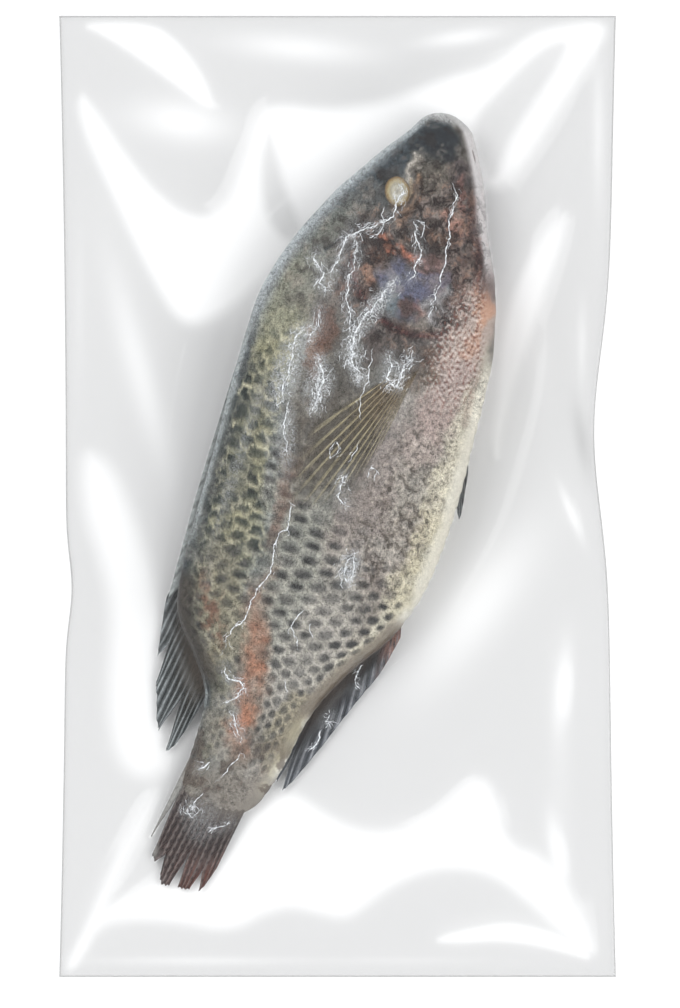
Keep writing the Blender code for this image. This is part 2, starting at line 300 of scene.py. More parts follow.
def cloud(x, y, size, seed, octaves=4):
    """Soft random unevenness from about -1 to 1, its largest humps of this size."""
    total, strength = 0.0, 1.0
    for octave in range(octaves):
        u, v = x / size + 17.3 * seed, y / size - 9.1 * seed
        i, j = np.floor(u), np.floor(v)
        along, across = smooth(u - i), smooth(v - j)
        low = chance(i, j, octave) * (1 - along) + chance(i + 1, j, octave) * along
        high = chance(i, j + 1, octave) * (1 - along) + chance(i + 1, j + 1, octave) * along
        total = total + strength * (2 * (low * (1 - across) + high * across) - 1)
        size, strength = size * 0.5, strength * 0.55
    return total


def cubic(low, high, start, end, share):
    """The way from one point to the next, with these slopes at the two."""
    rise = high - low
    curl = 3 * rise - 2 * start - end + (start + end - 2 * rise) * share
    return low + share * (start + share * curl)


def section_at(distance):
    """Back edge, belly edge, half thickness and middle height at each distance, in millimetres."""
    stations = BODY_STATIONS
    place = np.clip(distance, stations[0, 0], stations[-1, 0])
    i = np.clip(np.searchsorted(stations[:, 0], place) - 1, 0, len(stations) - 2)
    before, low = stations[np.maximum(i - 1, 0)], stations[i]
    high, after = stations[i + 1], stations[np.minimum(i + 2, len(stations) - 1)]
    span = high[..., :1] - low[..., :1]
    share = (np.asarray(place)[..., None] - low[..., :1]) / span
    start = (high - before) / (high[..., :1] - before[..., :1]) * span
    end = (after - low) / (after[..., :1] - low[..., :1]) * span
    return np.moveaxis(cubic(low, high, start, end, share)[..., 1:], -1, 0)


def end_rounding(distance):
    """The share of its full section that the body has near its two ends."""
    snout = np.clip(distance / SNOUT_ROUNDING, 0, 1)
    tail = np.clip((BODY_LENGTH - distance) / TAIL_ROUNDING, 0, 1)
    return np.sqrt(1 - (1 - snout) ** 2) * np.sqrt(1 - (1 - tail) ** 2)


def flank_height(distance, offset):
    """The height of the upper flank over a point of the fish's plan, in millimetres."""
    back, belly, half, middle = section_at(distance)
    full = end_rounding(distance)
    share = (offset - (back + belly) / 2) / ((back - belly) / 2 * full + 1e-9)
    return middle + half * full * np.maximum(0.0, 1 - share ** 2) ** (FLANK_FULLNESS / 2)


def in_frame(distance, offset, height):
    """Points along the fish and towards its back, as points of the pouch's frame in metres."""
    plan = np.array(SNOUT) + distance[..., None] * ALONG + offset[..., None] * TO_BACK
    return np.concatenate((plan, np.asarray(height)[..., None]), axis=-1) * MM


def on_fish(x, y):
    """The distance from the snout and the offset to the back of plan points, in millimetres."""
    plan = np.stack((x, y), axis=-1) - np.array(SNOUT)
    return plan @ ALONG, plan @ TO_BACK


def line_reach(x, y, points):
    """How far each point lies from a broken line."""
    nearest = np.full(np.shape(x), 1e9)
    for (x0, y0), (x1, y1) in zip(points, points[1:]):
        run_x, run_y = x1 - x0, y1 - y0
        share = np.clip(((x - x0) * run_x + (y - y0) * run_y) / (run_x ** 2 + run_y ** 2), 0, 1)
        nearest = np.minimum(nearest, np.hypot(x - x0 - run_x * share, y - y0 - run_y * share))
    return nearest


def oval_reach(u, v, centre, reach, lean):
    """How far points lie from the centre of a leaning ellipse, as 1 on the ellipse."""
    turn = math.radians(lean)
    du, dv = u - centre[0], v - centre[1]
    along = (du * math.cos(turn) + dv * math.sin(turn)) / reach[0]
    across = (dv * math.cos(turn) - du * math.sin(turn)) / reach[1]
    return np.hypot(along, across)


def patch(u, v, centre, reach, lean=0.0, soft=0.6):
    """1 inside an ellipse, 0 outside, with an edge as soft as this share of its reach."""
    return smooth((1 - oval_reach(u, v, centre, reach, lean)) / soft + 0.5)


def past(start, run):
    """0 up to this distance from the snout, and 1 from a run beyond it."""
    return smooth((distance - start) / run)


def short_of(end, run):
    """1 until a run before this distance from the snout, and 0 beyond it."""
    return smooth((end - distance) / run)


def mottled(size, seed, octaves=4):
    """Soft unevenness over the body, its largest humps of this size."""
    return cloud(distance, offset, size, seed, octaves)


def from_line(points):
    """How far each point of the body lies from a broken line on it."""
    return line_reach(distance, offset, points)


def points_of(mesh):
    """Every point of a mesh, one to a row."""
    flat = np.empty(len(mesh.vertices) * 3, np.float32)
    mesh.vertices.foreach_get("co", flat)
    return flat.reshape(-1, 3).astype(float)


def move_points(mesh, points):
    """Puts every point of a mesh in its new place."""
    mesh.vertices.foreach_set("co", points.astype(np.float32).ravel())
    mesh.update()


def scale_cells(distance, girth, restless):
    """Which scale covers each point: how near its rim, its heart, its pocket and its own number."""
    along = distance / SCALE_LENGTH + 3.6 * (distance / BODY_LENGTH) ** 3
    along = along + (0.10 + 0.20 * restless) * cloud(distance, girth * 100, 14, 5, 2)
    along = along + 0.16 * restless * cloud(distance, girth * 100, 4, 25, 2)
    across = girth * SCALE_ROWS + (0.12 + 0.2 * restless) * cloud(distance, girth * 100, 17, 6, 2)
    across = across + 0.16 * restless * cloud(distance, girth * 100, 4, 26, 2)
    front = np.full(distance.shape, 1e9)
    rim, heart, pocket, own = (np.zeros(distance.shape) for each in range(4))
    for row_step in (-1, 0, 1):
        row = np.round(across) + row_step
        half_turn = 0.5 * np.mod(row, 2)
        for column_step in (-1, 0, 1, 2):
            column = np.floor(along - half_turn) + column_step + half_turn
            luck, other = chance(row, column, 1.0), chance(row, column, 2.0)
            du = along - column + (0.16 + 0.2 * restless) * (luck - 0.5)
            dv = (across - row) * 0.92 + (0.16 + 0.2 * restless) * (other - 0.5)
            reach = np.hypot(du * 0.9, dv)
            covers = (reach < SCALE_REACH) & (column < front)
            front = np.where(covers, column, front)
            rim = np.where(covers, smooth((reach - RIM_FROM) / RIM_RUN), rim)
            spot = np.hypot((du - HEART_PLACE) * 1.2, dv) * (0.85 + 0.3 * luck)
            heart = np.where(covers, smooth((HEART_REACH - spot) / 0.30), heart)
            shut = smooth((0.50 + 0.16 * luck - du) / 0.34) * smooth((0.62 - np.abs(dv)) / 0.25)
            pocket = np.where(covers, shut, pocket)
            own = np.where(covers, luck, own)
    return rim, heart, pocket, own


GILL_EDGE = (
    (24, -24.5), (36, -28.5), (52, -32.5), (63, -33), (71.3, -30.8), (77.4, -25.8), (80.4, -17),
    (80, -7.3), (76.2, 1.5), (70.1, 9.1), (60.6, 13.2),
)
CHEEK_GROOVE = ((24, -20), (34, -22), (45, -24), (53, -22), (57, -14), (55, -4), (48, 4), (41, 8))
NECK_GROOVE = ((60, 23.8), (55.5, 20.2), (50.4, 16.4))
EYE_CENTRE = (31.8, 5.0)

bm = bmesh.new()
bmesh.ops.create_uvsphere(bm, u_segments=RING_POINTS, v_segments=RINGS, radius=1.0)
body_mesh = mesh_of("fish_body", bm)
unit = points_of(body_mesh)
turn = np.arccos(np.clip(unit[:, 2], -1, 1)) / math.pi
angle = np.arctan2(unit[:, 1], unit[:, 0])
angle[np.abs(unit[:, 2]) > 1 - 1e-6] = math.pi / 2
angle = angle + UPPER_SHARE * np.cos(angle)
distance = (turn - RING_CROWDING * np.sin(2 * math.pi * turn)) * BODY_LENGTH
stretched = -SNOUT_REACH * (1 - distance / BODY_LENGTH) ** 12
back, belly, half, middle = section_at(distance)
full = end_rounding(distance)
depth = (back - belly) / 2 * full
offset = (back + belly) / 2 + depth * np.cos(angle)
girth = 1 - np.abs(np.arctan2(np.sin(angle), np.cos(angle))) / math.pi
from_back = depth * (1 - np.cos(angle))
from_belly = depth * (1 + np.cos(angle))
across_share = from_back / (2 * depth + 1e-6)

restless = smooth((0.36 - across_share) / 0.08) * short_of(206, 20)
rim, heart, pocket, own = scale_cells(distance, girth, restless)
scaled = smooth((distance - 84 - 8 * np.cos(girth * 4.1) + 3 * mottled(9, 1)) / 7)
scaled = scaled * short_of(263, 12)
scaled = scaled * np.maximum(smooth((from_back - 2.0) / 2), past(218, 8))
slime = patch(distance, offset, (112, 10), (34, 15), -4, 0.7)
relief = SCALE_RELIEF * scaled * (1 - 0.8 * slime) * (heart * 0.5 * (1 - restless) - rim)
plate = patch(distance, offset, (57, -11), (25.5, 22.5), 0, 0.16)
cheek = patch(distance, offset, (39, -11), (19, 13), 8, 0.5)
socket = patch(distance, offset, EYE_CENTRE, (8.2, 7.2), -30, 0.5)
gill_reach = from_line(GILL_EDGE)
groove_reach = from_line(CHEEK_GROOVE)
relief = relief + PLATE_RISE * plate + CHEEK_RISE * cheek - SOCKET_DEPTH * socket
relief = relief + GILL_RISE * smooth(1 - gill_reach / 2.6)
relief = relief - GROOVE_DEPTH * smooth(1 - groove_reach / 1.6)
relief = relief + 0.25 * mottled(11, 2) * short_of(100, 12)
grown = depth + relief
offset = (back + belly) / 2 + grown * np.cos(angle)
bulge = np.copysign(np.abs(np.sin(angle)) ** FLANK_FULLNESS, np.sin(angle))
height = np.maximum(REST_HEIGHT, middle + (half * full + relief) * bulge)
placed = in_frame(distance + stretched, offset, height)
move_points(body_mesh, placed)

# The skin's colours, as screen values: first from the back to the belly, then region by region
ragged_x = distance + 2.4 * mottled(8, 3) + 0.9 * mottled(2.2, 4, 2)
ragged_y = offset + 2.4 * mottled(8, 7) + 0.9 * mottled(2.2, 8, 2)
# The table's first two rows are a pale rim at the edge of the back, a painted highlight of the film
# there
FLANK_TINTS = np.array((
    (0.00, 150, 157, 159),
    (0.012, 124, 132, 135),
    (0.024, 62, 68, 72),
    (0.042, 60, 65, 66),
    (0.07, 84, 87, 80),
    (0.18, 112, 111, 94),
    (0.25, 116, 117, 102),
    (0.30, 132, 136, 132),
    (0.40, 124, 124, 118),
    (0.50, 112, 110, 104),
    (0.60, 136, 131, 124),
    (0.70, 150, 147, 141),
    (0.80, 150, 143, 135),
    (0.87, 164, 157, 144),
    (0.92, 204, 198, 178),
    (0.955, 222, 217, 198),
    (1.00, 228, 226, 217),
))
uneven = across_share + 0.018 * mottled(10, 9)
tints = [np.interp(uneven, FLANK_TINTS[:, 0], FLANK_TINTS[:, k]) for k in (1, 2, 3)]
skin = np.stack(tints, axis=-1)


def paint(mask, tint):
    """Lays a colour over the skin where the mask is high."""
    skin[:] += (np.array(tint, float) - skin) * np.clip(mask, 0, 1)[:, None]


def region(centre, reach, lean, tint, strength, soft=0.6):
    """Lays a colour over one ragged region of the skin."""
    paint(patch(ragged_x, ragged_y, centre, reach, lean, soft) * strength, tint)


STRIPE = (
    (88, 20), (104, 18), (122, 14.4), (144, 11.6), (170, 11), (186, 9.6), (197, 8), (208, 5.6),
    (226, 2.6), (246, 0.5),
)
stripe_reach = line_reach(ragged_x, ragged_y, STRIPE)
on_upper = smooth((height - middle) / 4 + 0.8)

region((150, -22), (46, 15), 2, (140, 130, 125), 0.8)
region((196, -14), (34, 13), 12, (169, 165, 158), 0.8)
region((172, 0), (36, 9), 0, (140, 142, 135), 0.6)
region((120, 21), (34, 5), -4, (140, 143, 141), 0.9)
region((100, 24), (16, 7), 0, (142, 144, 138), 0.8)
region((120, 9), (34, 10), -4, (86, 80, 73), 0.9)
region((118, -4), (26, 11), 0, (88, 83, 77), 0.85)
region((134, -33), (30, 8), 4, (162, 157, 147), 0.75)
region((114, -31), (14, 6), 4, (162, 148, 142), 0.7)
region((150, -40), (30, 4.5), 2, (192, 184, 158), 0.75)
region((196, 22), (24, 9), -20, (134, 127, 108), 0.8)
region((150, 40), (40, 3.5), 2, (84, 87, 84), 0.6)
region((236, 3), (17, 13), 0, (146, 141, 132), 0.7)
region((232, -14), (16, 5), 14, (142, 134, 112), 0.7)
broken = smooth(0.5 + 0.9 * mottled(13, 31, 3))
paint(smooth(1.2 - stripe_reach / 3.6) * past(84, 10) * broken * 0.6, (118, 88, 76))

# Scales: a dark heart on each, and on the back a pale olive rim round it. The olive scales also
# get painted shade in the pocket under each, and painted highlights on their lit faces and rims
olive = smooth((0.24 + 0.11 * past(148, 26) - across_share) / 0.04)
olive = olive * smooth((from_back - 2.5 - 1.6 * mottled(6, 27)) / 2.2)
olive = olive * (0.3 + 0.7 * short_of(180, 20)) * short_of(212, 20)
spotted = smooth((distance - 128 + 0.7 * offset) / 30) * (1 - olive)
spotted = spotted * smooth((from_belly - 2.5) / 5) * short_of(262, 14)
stripe_quiet = 1 - 0.65 * smooth(1.3 - stripe_reach / 4.2)
luck = 0.75 + 0.5 * mottled(16, 11, 3)
luck = luck * (1 - 0.45 * past(212, 20))
paint(scaled * spotted * stripe_quiet * heart * (0.85 + 0.4 * own) * luck, (60, 60, 60))
quiet_rear = 1 - 0.6 * past(206, 16)
paint(scaled * spotted * rim * 0.35 * quiet_rear, (188, 186, 170))
broad_scales = short_of(116, 16)
paint(olive * scaled * broad_scales * 0.8, (150, 147, 118))
# Painted shade in the pocket under each olive scale, and painted highlights on its lit face and rim
shadow = pocket * (0.35 + 0.75 * own) * (1 - 0.35 * broad_scales)
shadow = shadow * (0.8 + 0.5 * mottled(2.6, 33, 3))
lit = smooth((0.75 - pocket) / 0.6) * (0.15 + 0.85 * chance(own, 1.7, 3.1))
paint(scaled * olive * lit * 0.85, (164, 160, 132))
paint(scaled * olive * shadow, (46, 51, 49))
glint = smooth(0.5 + 1.1 * mottled(3, 34, 3))
paint(scaled * olive * rim * own * glint * (1 - 0.5 * slime), (202, 197, 170))
flush = smooth((1.5 - stripe_reach / 5.2) * 0.8) * past(176, 40)
flush = flush * (0.68 + 0.25 * mottled(7, 28, 3)) * short_of(256, 16)
paint(flush, (170, 117, 92))
reddened = patch(ragged_x, ragged_y, (200, 25.5), (13, 4), -26, 0.9)
paint(reddened * smooth(0.5 + 1.0 * mottled(2.4, 32, 3)) * 0.7, (112, 80, 68))
blotches = smooth((mottled(5, 12, 4) - 0.1) / 0.5)
fore_belly = patch(distance, offset, (140, -31), (42, 13), 6, 0.6)
edges = fore_belly * rim * smooth((mottled(4, 29, 3) + 0.1) / 0.4)
paint(edges * on_upper * 0.85, (66, 60, 54))
paint(fore_belly * blotches * 0.3 * on_upper, (98, 88, 82))
paint(smooth((mottled(9, 13, 4) - 0.3) / 0.4) * 0.30, (104, 103, 98))
paint(smooth((mottled(7, 14, 4) - 0.35) / 0.4) * 0.25, (170, 166, 157))

# The head, from its broad grounds to its small marks
head = smooth((92 - distance - 0.16 * offset) / 10)
paint(head, (96, 92, 87))
region((44, 18), (42, 10), 32, (90, 93, 93), 0.9)
region((30, 17), (34, 3.2), 32, (62, 69, 74), 0.7, 1.2)
region((64, 30), (24, 7), 24, (112, 115, 109), 0.8)
region((80, 32), (16, 8), 14, (142, 142, 124), 0.75)
region((62, 22), (22, 7), 24, (120, 120, 112), 0.6)
region((18, 6), (20, 5), 36, (60, 67, 72), 0.9)
region((12.5, -4.5), (8.5, 7.5), 0, (46, 50, 54), 0.95)
region((21, -16), (7, 4.5), -45, (64, 58, 60), 0.85)
region((26, -6), (9, 7), 0, (98, 93, 85), 0.8)
region((44, -4), (12, 9), 0, (100, 91, 86), 0.85)
region((36, -13), (12, 8), 0, (112, 102, 98), 0.85)
region((54, 8), (13, 8), 0, (72, 64, 60), 0.9)
region((66, 9), (12, 7), 18, (70, 54, 50), 0.9)
region((52, -22), (14, 7), -12, (86, 74, 72), 0.9)
region((62, -28), (12, 4), 0, (92, 74, 70), 0.85)
region((64, -9), (13, 11), -10, (92, 94, 114), 0.95, 0.5)
region((73, -5), (5, 6), 0, (98, 110, 114), 0.8)
region((60, -18), (7, 5), 0, (102, 98, 110), 0.8)
region((53.5, -11), (3.2, 8), 8, (142, 110, 104), 0.8)
region((69.5, -21), (5.2, 4.6), 0, (146, 144, 145), 0.9)
region((62, -24), (3.4, 3), 0, (142, 146, 150), 0.8)
region((72, -13.5), (3, 6), 8, (130, 96, 88), 0.7)
region((37, -17.8), (6, 4), -30, (158, 120, 108), 0.9)
region((27, -19.5), (6, 2), -18, (140, 104, 96), 0.75)
region((51.5, 0), (2.4, 8.5), 8, (170, 104, 82), 0.85)
region((56, 10), (3, 4.5), 20, (150, 108, 86), 0.8)
region((64, 5.5), (3, 4), 10, (152, 112, 92), 0.75)
region((71, 11), (3, 4), 10, (140, 96, 74), 0.7)
region((37.5, 0.8), (5, 4.6), 0, (140, 112, 92), 0.9)
region((33, -0.6), (8, 2.6), 12, (124, 98, 80), 0.8)
region((88, 15), (10, 4), -20, (92, 66, 56), 0.8)
region((92, 5), (16, 6), -10, (84, 82, 78), 0.6)
region((97, 17), (8, 3.4), -20, (122, 88, 72), 0.6)
region((56, 12), (8, 6), 10, (56, 44, 42), 0.8)
region((66, 12.5), (7, 3.4), 18, (60, 46, 42), 0.8)
region((45, -10), (4.4, 9), 12, (66, 52, 46), 0.8)
region((86, -6), (9, 7), 0, (84, 76, 74), 0.85)
region((87, -14), (7, 8), 0, (70, 62, 58), 0.9)
region((86, -27), (4, 6), 0, (92, 74, 64), 0.85)
region((92, -24), (6, 6), 0, (96, 84, 74), 0.75)
region((99, -12), (9, 7), 0, (108, 108, 104), 0.7)
paint(smooth(1.2 - gill_reach / 1.7) * 0.85, (78, 46, 46))
JAW_LINE = ((6, -14.5), (14, -19.5), (24, -24), (34, -27.5), (46, -31), (58, -33.5))
paint(smooth(1.2 - from_line(JAW_LINE) / 2.2) * 0.7, (62, 48, 48))
paint(smooth(1.0 - np.abs(gill_reach - 2.6) / 1.0) * 0.35 * head, (150, 132, 128))
# The cheek groove and the neck groove are painted dark, as shade in them
paint(smooth(1.2 - groove_reach / 1.1) * 0.6, (62, 50, 48))
paint(smooth(1.2 - from_line(NECK_GROOVE) / 0.7) * 0.9, (40, 44, 48))
marks = mottled(4.2, 15, 4)
paint(head * smooth((marks - 0.15) / 0.45) * 0.5, (48, 42, 40))
paint(head * smooth((-marks - 0.35) / 0.5) * 0.35, (150, 138, 128))
SMEAR = ((31, 4), (27, 3), (22, 1.6), (17.5, -0.4))
smear_reach = line_reach(ragged_x, ragged_y, SMEAR)
paint(smooth((1.3 - smear_reach / 2.8) * 0.8) * 0.7, (160, 152, 141))
paint(smooth(1.1 - smear_reach / 1.1) * 0.55, (204, 198, 188))
for fold, tint in (
    (((24, -0.5), (30, -2.2), (36.5, -1.2), (40, 2.6)), (150, 122, 100)),
    (((25, -2), (30.5, -3.8), (37.6, -2.6), (41.4, 2)), (70, 54, 46)),
    (((26.5, 1.5), (31, 0), (36, 1.2)), (178, 160, 134)),
):
    paint(smooth(1.1 - from_line(fold) / 0.85) * 0.75, tint)

# The throat and the margins, where pale flesh and skin show at the outline. Along the back and
# round the snout the pale edge is a painted highlight of the film, and the underside by the back
# is painted darker as shade
region((74, -36), (22, 9), 4, (184, 166, 156), 0.9)
region((63, -38), (10, 2.6), -4, (202, 148, 118), 0.65, 0.9)
region((78, -38), (6, 2.4), 8, (184, 136, 112), 0.5)
region((100, -35), (16, 8), 4, (164, 146, 140), 0.8)
region((112, -43), (34, 3), 2, (204, 198, 180), 0.6)
BREAST_FOLD = ((84, -43), (94, -42.6), (106, -44))
paint(smooth(1.2 - from_line(BREAST_FOLD) / 2.2) * 0.45, (128, 110, 102))
no_fin = short_of(178, 12)
paint(smooth((6.0 - from_belly) / 5) * past(70, 20) * no_fin * 0.9, (220, 215, 200))
# A pale rim along the back: a painted highlight of the film where it bends over the edge
paint(smooth((2.4 - from_back) / 1.6) * past(4, 8) * no_fin * on_upper * 0.7, (166, 173, 174))
# The flank that faces the floor is painted darker by the back, as shade over the back's own dark
# colour
paint((1 - on_upper) * smooth((14 - from_back) / 8) * no_fin * 0.9, (70, 76, 80))
tail_root = smooth((distance - 244 - 5 * mottled(7, 17, 3)) / 18)
mottles = mottled(4, 30, 4)
paint(tail_root * 0.85, (118, 112, 105))
rear = past(232, 14)
paint(rear * smooth((mottles - 0.05) / 0.4) * 0.6, (86, 76, 70))
paint(rear * smooth((-mottles - 0.15) / 0.4) * 0.35, (152, 147, 139))
paint(past(184, 8) * short_of(228, 8) * smooth((10 - from_back) / 8) * 0.9, (66, 61, 56))
paint(past(178, 8) * short_of(230, 8) * smooth((7 - from_belly) / 4) * 0.85, (122, 113, 102))
paint(past(182, 8) * short_of(226, 8) * smooth((2.4 - from_belly) / 2) * 0.8, (84, 72, 60))
paint(smooth((11 - from_belly) / 4) * short_of(64, 12) * past(20, 10) * 0.75, (74, 52, 50))
paint(smooth((5.6 - from_belly) / 3.0) * short_of(60, 16) * 0.9, (222, 219, 219))
# A wider pale rim at the nape and a paler edge along the head's back: painted highlight of the film
nape = smooth((7.2 - from_back) / 5) * short_of(112, 30) * past(8, 16)
paint(nape * on_upper * 0.8, (150, 156, 159))
paint(smooth((3.6 - from_back) / 2.2) * short_of(94, 24) * on_upper * 0.8, (176, 184, 187))
# A pale tip round the snout: a painted highlight of the film drawn round it
paint(short_of(5.0, 3) * 0.85, (184, 184, 183))

layer = body_mesh.attributes.new("skin", "FLOAT_COLOR", "POINT")
linear = np.ones((len(skin), 4), np.float32)
linear[:, :3] = (np.clip(skin, 0, 255) / 255) ** 2.2 / STUDIO_GAIN
layer.data.foreach_set("color", linear.ravel())


def keep_map(mesh, name, u, v):
    """Stores a flat map of a mesh, from two numbers for each of its points."""
    corners = np.empty(len(mesh.loops), np.int32)
    mesh.loops.foreach_get("vertex_index", corners)
    layer = mesh.uv_layers.new(name=name)
    layer.data.foreach_set("uv", np.stack((u[corners], v[corners]), 1).astype(np.float32).ravel())


DECIMETRE = 100.0
keep_map(body_mesh, "flank", distance / DECIMETRE, offset / DECIMETRE)


def keep_values(mesh, name, values):
    """Stores one number for each point of a mesh, which its material reads by this name."""
    layer = mesh.attributes.new(name, "FLOAT", "POINT")
    layer.data.foreach_set("value", np.asarray(values, np.float32))


raw_mask = head * patch(distance, offset, (56, -9), (36, 26), 0, 0.5)
raw_mask = raw_mask * (1 - 0.9 * patch(distance, offset, (65, -11), (14, 13), -10, 0.4))
raw_mask = raw_mask * (1 - 0.8 * smooth(1.2 - smear_reach / 2.6))
raw_mask = raw_mask * (1 - 0.9 * patch(distance, offset, EYE_CENTRE, (8, 7), -24, 0.5))
raw_mask = np.maximum(raw_mask, 0.5 * patch(distance, offset, (90, -22), (12, 10)))
keep_values(body_mesh, "raw", raw_mask)
throat = patch(distance, offset, (80, -35), (26, 11), 4, 0.6)
keep_values(body_mesh, "pores", throat * on_upper * smooth((from_belly - 2.5) / 3))
margin = smooth((7 - from_belly) / 5) * past(96, 14)
keep_values(body_mesh, "netted", fore_belly * on_upper * (1 - margin))
flange = smooth((7 - from_belly) / 3) * short_of(90, 10)
calm_mask = np.maximum(margin, np.maximum(flange, 0.4 * throat))
keep_values(body_mesh, "calm", calm_mask + 0.2 * rear)


def scaled_by(start, colour, light):
    """A colour made lighter or darker by a number that varies."""
    settings = {"operation": "SCALE"}
    return start.node("ShaderNodeVectorMath", settings, {0: colour, "Scale": light})


def speckled(start, colour, flank, strength=1.0):
    """A colour broken by the fine dark and pale grain that wet skin has."""
    broad = flank.noise(26.0, 3.0, 0.7)
    grain = flank.noise(85.0, 4.0, 0.75)
    fine = flank.noise(300.0, 1.0, 0.7)
    light = 1.02 + ((broad - 0.5) * 1.1 + (grain - 0.5) * 2.4 + (fine - 0.5) * 2.2) * strength
    return scaled_by(start, colour, light)


material, shader, start = new_material("wet_skin", Roughness=0.45, Coat_Weight=0.12)
shader.inputs["Coat Roughness"].default_value = 0.2
shader.inputs["Specular IOR Level"].default_value = 0.22
flank = start.node("ShaderNodeUVMap", {"uv_map": "flank"})
tone = start.stored("skin", "Color")
raw = start.stored("raw")
pores = start.stored("pores")
netted = start.stored("netted")
calm = start.stored("calm")
swirl = flank.shifted(flank.noise(16.0, 2.0, 0.6, "Color"), 0.10)
flesh = swirl.noise(24.0, 4.0, 0.72)
tone = tone.blend(raw * flesh.step(0.47, 0.58) * 0.85, srgb(42, 34, 33))
tone = tone.blend(raw * flesh.step(0.45, 0.36) * 0.5, srgb(142, 112, 96))
tone = tone.blend(raw * swirl.noise(40.0, 4.0, 0.7).step(0.56, 0.66) * 0.5, srgb(136, 130, 124))
dots = flank.noise(84.0, 1.0, 0.4)
tone = tone.blend(pores * dots.step(0.56, 0.66) * 0.75, srgb(116, 72, 64))
tone = tone.blend(pores * dots.step(0.48, 0.36) * 0.45, srgb(216, 203, 196))
net = flank.noise(48.0, 3.0, 0.65)
tone = tone.blend(netted * net.step(0.55, 0.62) * 0.7, srgb(78, 71, 66))
tone = tone.blend(netted * net.step(0.46, 0.38) * 0.45, srgb(188, 178, 166))
start.feed(shader.inputs["Base Color"], speckled(start, tone, flank, 1.35 - calm * 1.1))
wrinkles = flank.noise(110.0, 2.0, 0.7)
depths = {"Strength": 0.35, "Distance": 0.0004, "Height": wrinkles}
bump = start.node("ShaderNodeBump", None, depths)
start.feed(shader.inputs["Normal"], bump)
fish_body = finished("fish_body", body_mesh, material)
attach(fish_body, "root")
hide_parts("fish")


# The eye: a flattened ball in its socket, with a cloudy lens, as in a fish that has been frozen,
# and a golden-brown iris that shows as a ring round it.
EYE_REACH = (5.7, 4.7, 2.9)
EYE_LEAN = math.radians(-24)
EYE_SINK = 1.3

bm = bmesh.new()
bmesh.ops.create_uvsphere(bm, u_segments=56, v_segments=36, radius=1.0)
eye_mesh = mesh_of("fish_eye", bm)
ball = points_of(eye_mesh)
long_way, short_way = ball[:, 0] * EYE_REACH[0], ball[:, 1] * EYE_REACH[1]
eye_along = EYE_CENTRE[0] + long_way * math.cos(EYE_LEAN) - short_way * math.sin(EYE_LEAN)
eye_across = EYE_CENTRE[1] + long_way * math.sin(EYE_LEAN) + short_way * math.cos(EYE_LEAN)
eye_level = flank_height(eye_along, eye_across) - EYE_SINK + ball[:, 2] * EYE_REACH[2]
move_points(eye_mesh, in_frame(eye_along, eye_across, eye_level))
keep_map(eye_mesh, "eyeball", ball[:, 0], ball[:, 1])

material, shader, start = new_material("clouded_eye", Roughness=0.3, Coat_Weight=0.3)
shader.inputs["Specular IOR Level"].default_value = 0.3
ball_map = start.node("ShaderNodeUVMap", {"uv_map": "eyeball"})
wavy = ball_map.shifted(ball_map.noise(3.0, 3.0, 0.6, "Color"), 0.35)
reach = start.node("ShaderNodeVectorMath", {"operation": "LENGTH"}, {0: wavy}, "Value")
iris = reach.ramp(
    (0.0, srgb(150, 146, 136)),
    (0.3, srgb(196, 190, 172)),
    (0.5, srgb(166, 160, 144)),
    (0.68, srgb(182, 168, 132)),
    (0.82, srgb(150, 126, 82)),
    (0.93, srgb(150, 124, 84)),
    (1.0, srgb(108, 90, 70)),
)
veins = (ball_map.noise(9.0, 4.0, 0.7) - 0.5) * 0.7 + 1
start.feed(shader.inputs["Base Color"], scaled_by(start, iris, veins))
fish_eye = finished("fish_eye", eye_mesh, material)
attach(fish_eye, "root")
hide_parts("fish")


# The lips: two fleshy rolls of skin round the front of the closed mouth, the lower one paler.
LIPS = (
    ("upper_lip", ((4.0, -4.6), (9.0, -10.0), (15.5, -14.6)), (66, 62, 64)),
    ("lower_lip", ((3.4, -10.0), (9.5, -17.2), (19.5, -21.0)), (170, 160, 158)),
)
LIP_RADIUS = 1.6
LIP_POINTS = 40
LIP_SINK = 1.05
TUBE_ROUNDNESS = 5


def curve_at(points, share):
    """Points at these shares of a Bezier curve, from its control points."""
    points = [np.array(point, float) for point in points]
    share = np.asarray(share, float)[..., None]
    while len(points) > 1:
        points = [low + (high - low) * share for low, high in zip(points, points[1:])]
    return points[0]


def tube_mesh(name, paths, radii, resolution):
    """One mesh of closed round tubes along paths of points, given in metres."""
    curve = bpy.data.curves.new(name, "CURVE")
    curve.dimensions = "3D"
    curve.bevel_depth = 1.0
    curve.bevel_resolution = resolution
    curve.use_fill_caps = True
    for path, sizes in zip(paths, radii):
        spline = curve.splines.new("POLY")
        spline.points.add(len(path) - 1)
        spline.points.foreach_set("co", np.c_[path, np.ones(len(path))].ravel())
        spline.points.foreach_set("radius", sizes)
    holder = bpy.data.objects.new(name, curve)
    bpy.context.scene.collection.objects.link(holder)
    bpy.context.view_layer.update()
    graph = bpy.context.evaluated_depsgraph_get()
    bm = bmesh.new()
    bm.from_mesh(holder.evaluated_get(graph).to_mesh())
    bpy.data.objects.remove(holder)
    bmesh.ops.remove_doubles(bm, verts=bm.verts, dist=1e-7)
    bmesh.ops.recalc_face_normals(bm, faces=bm.faces)
    return mesh_of(name, bm)


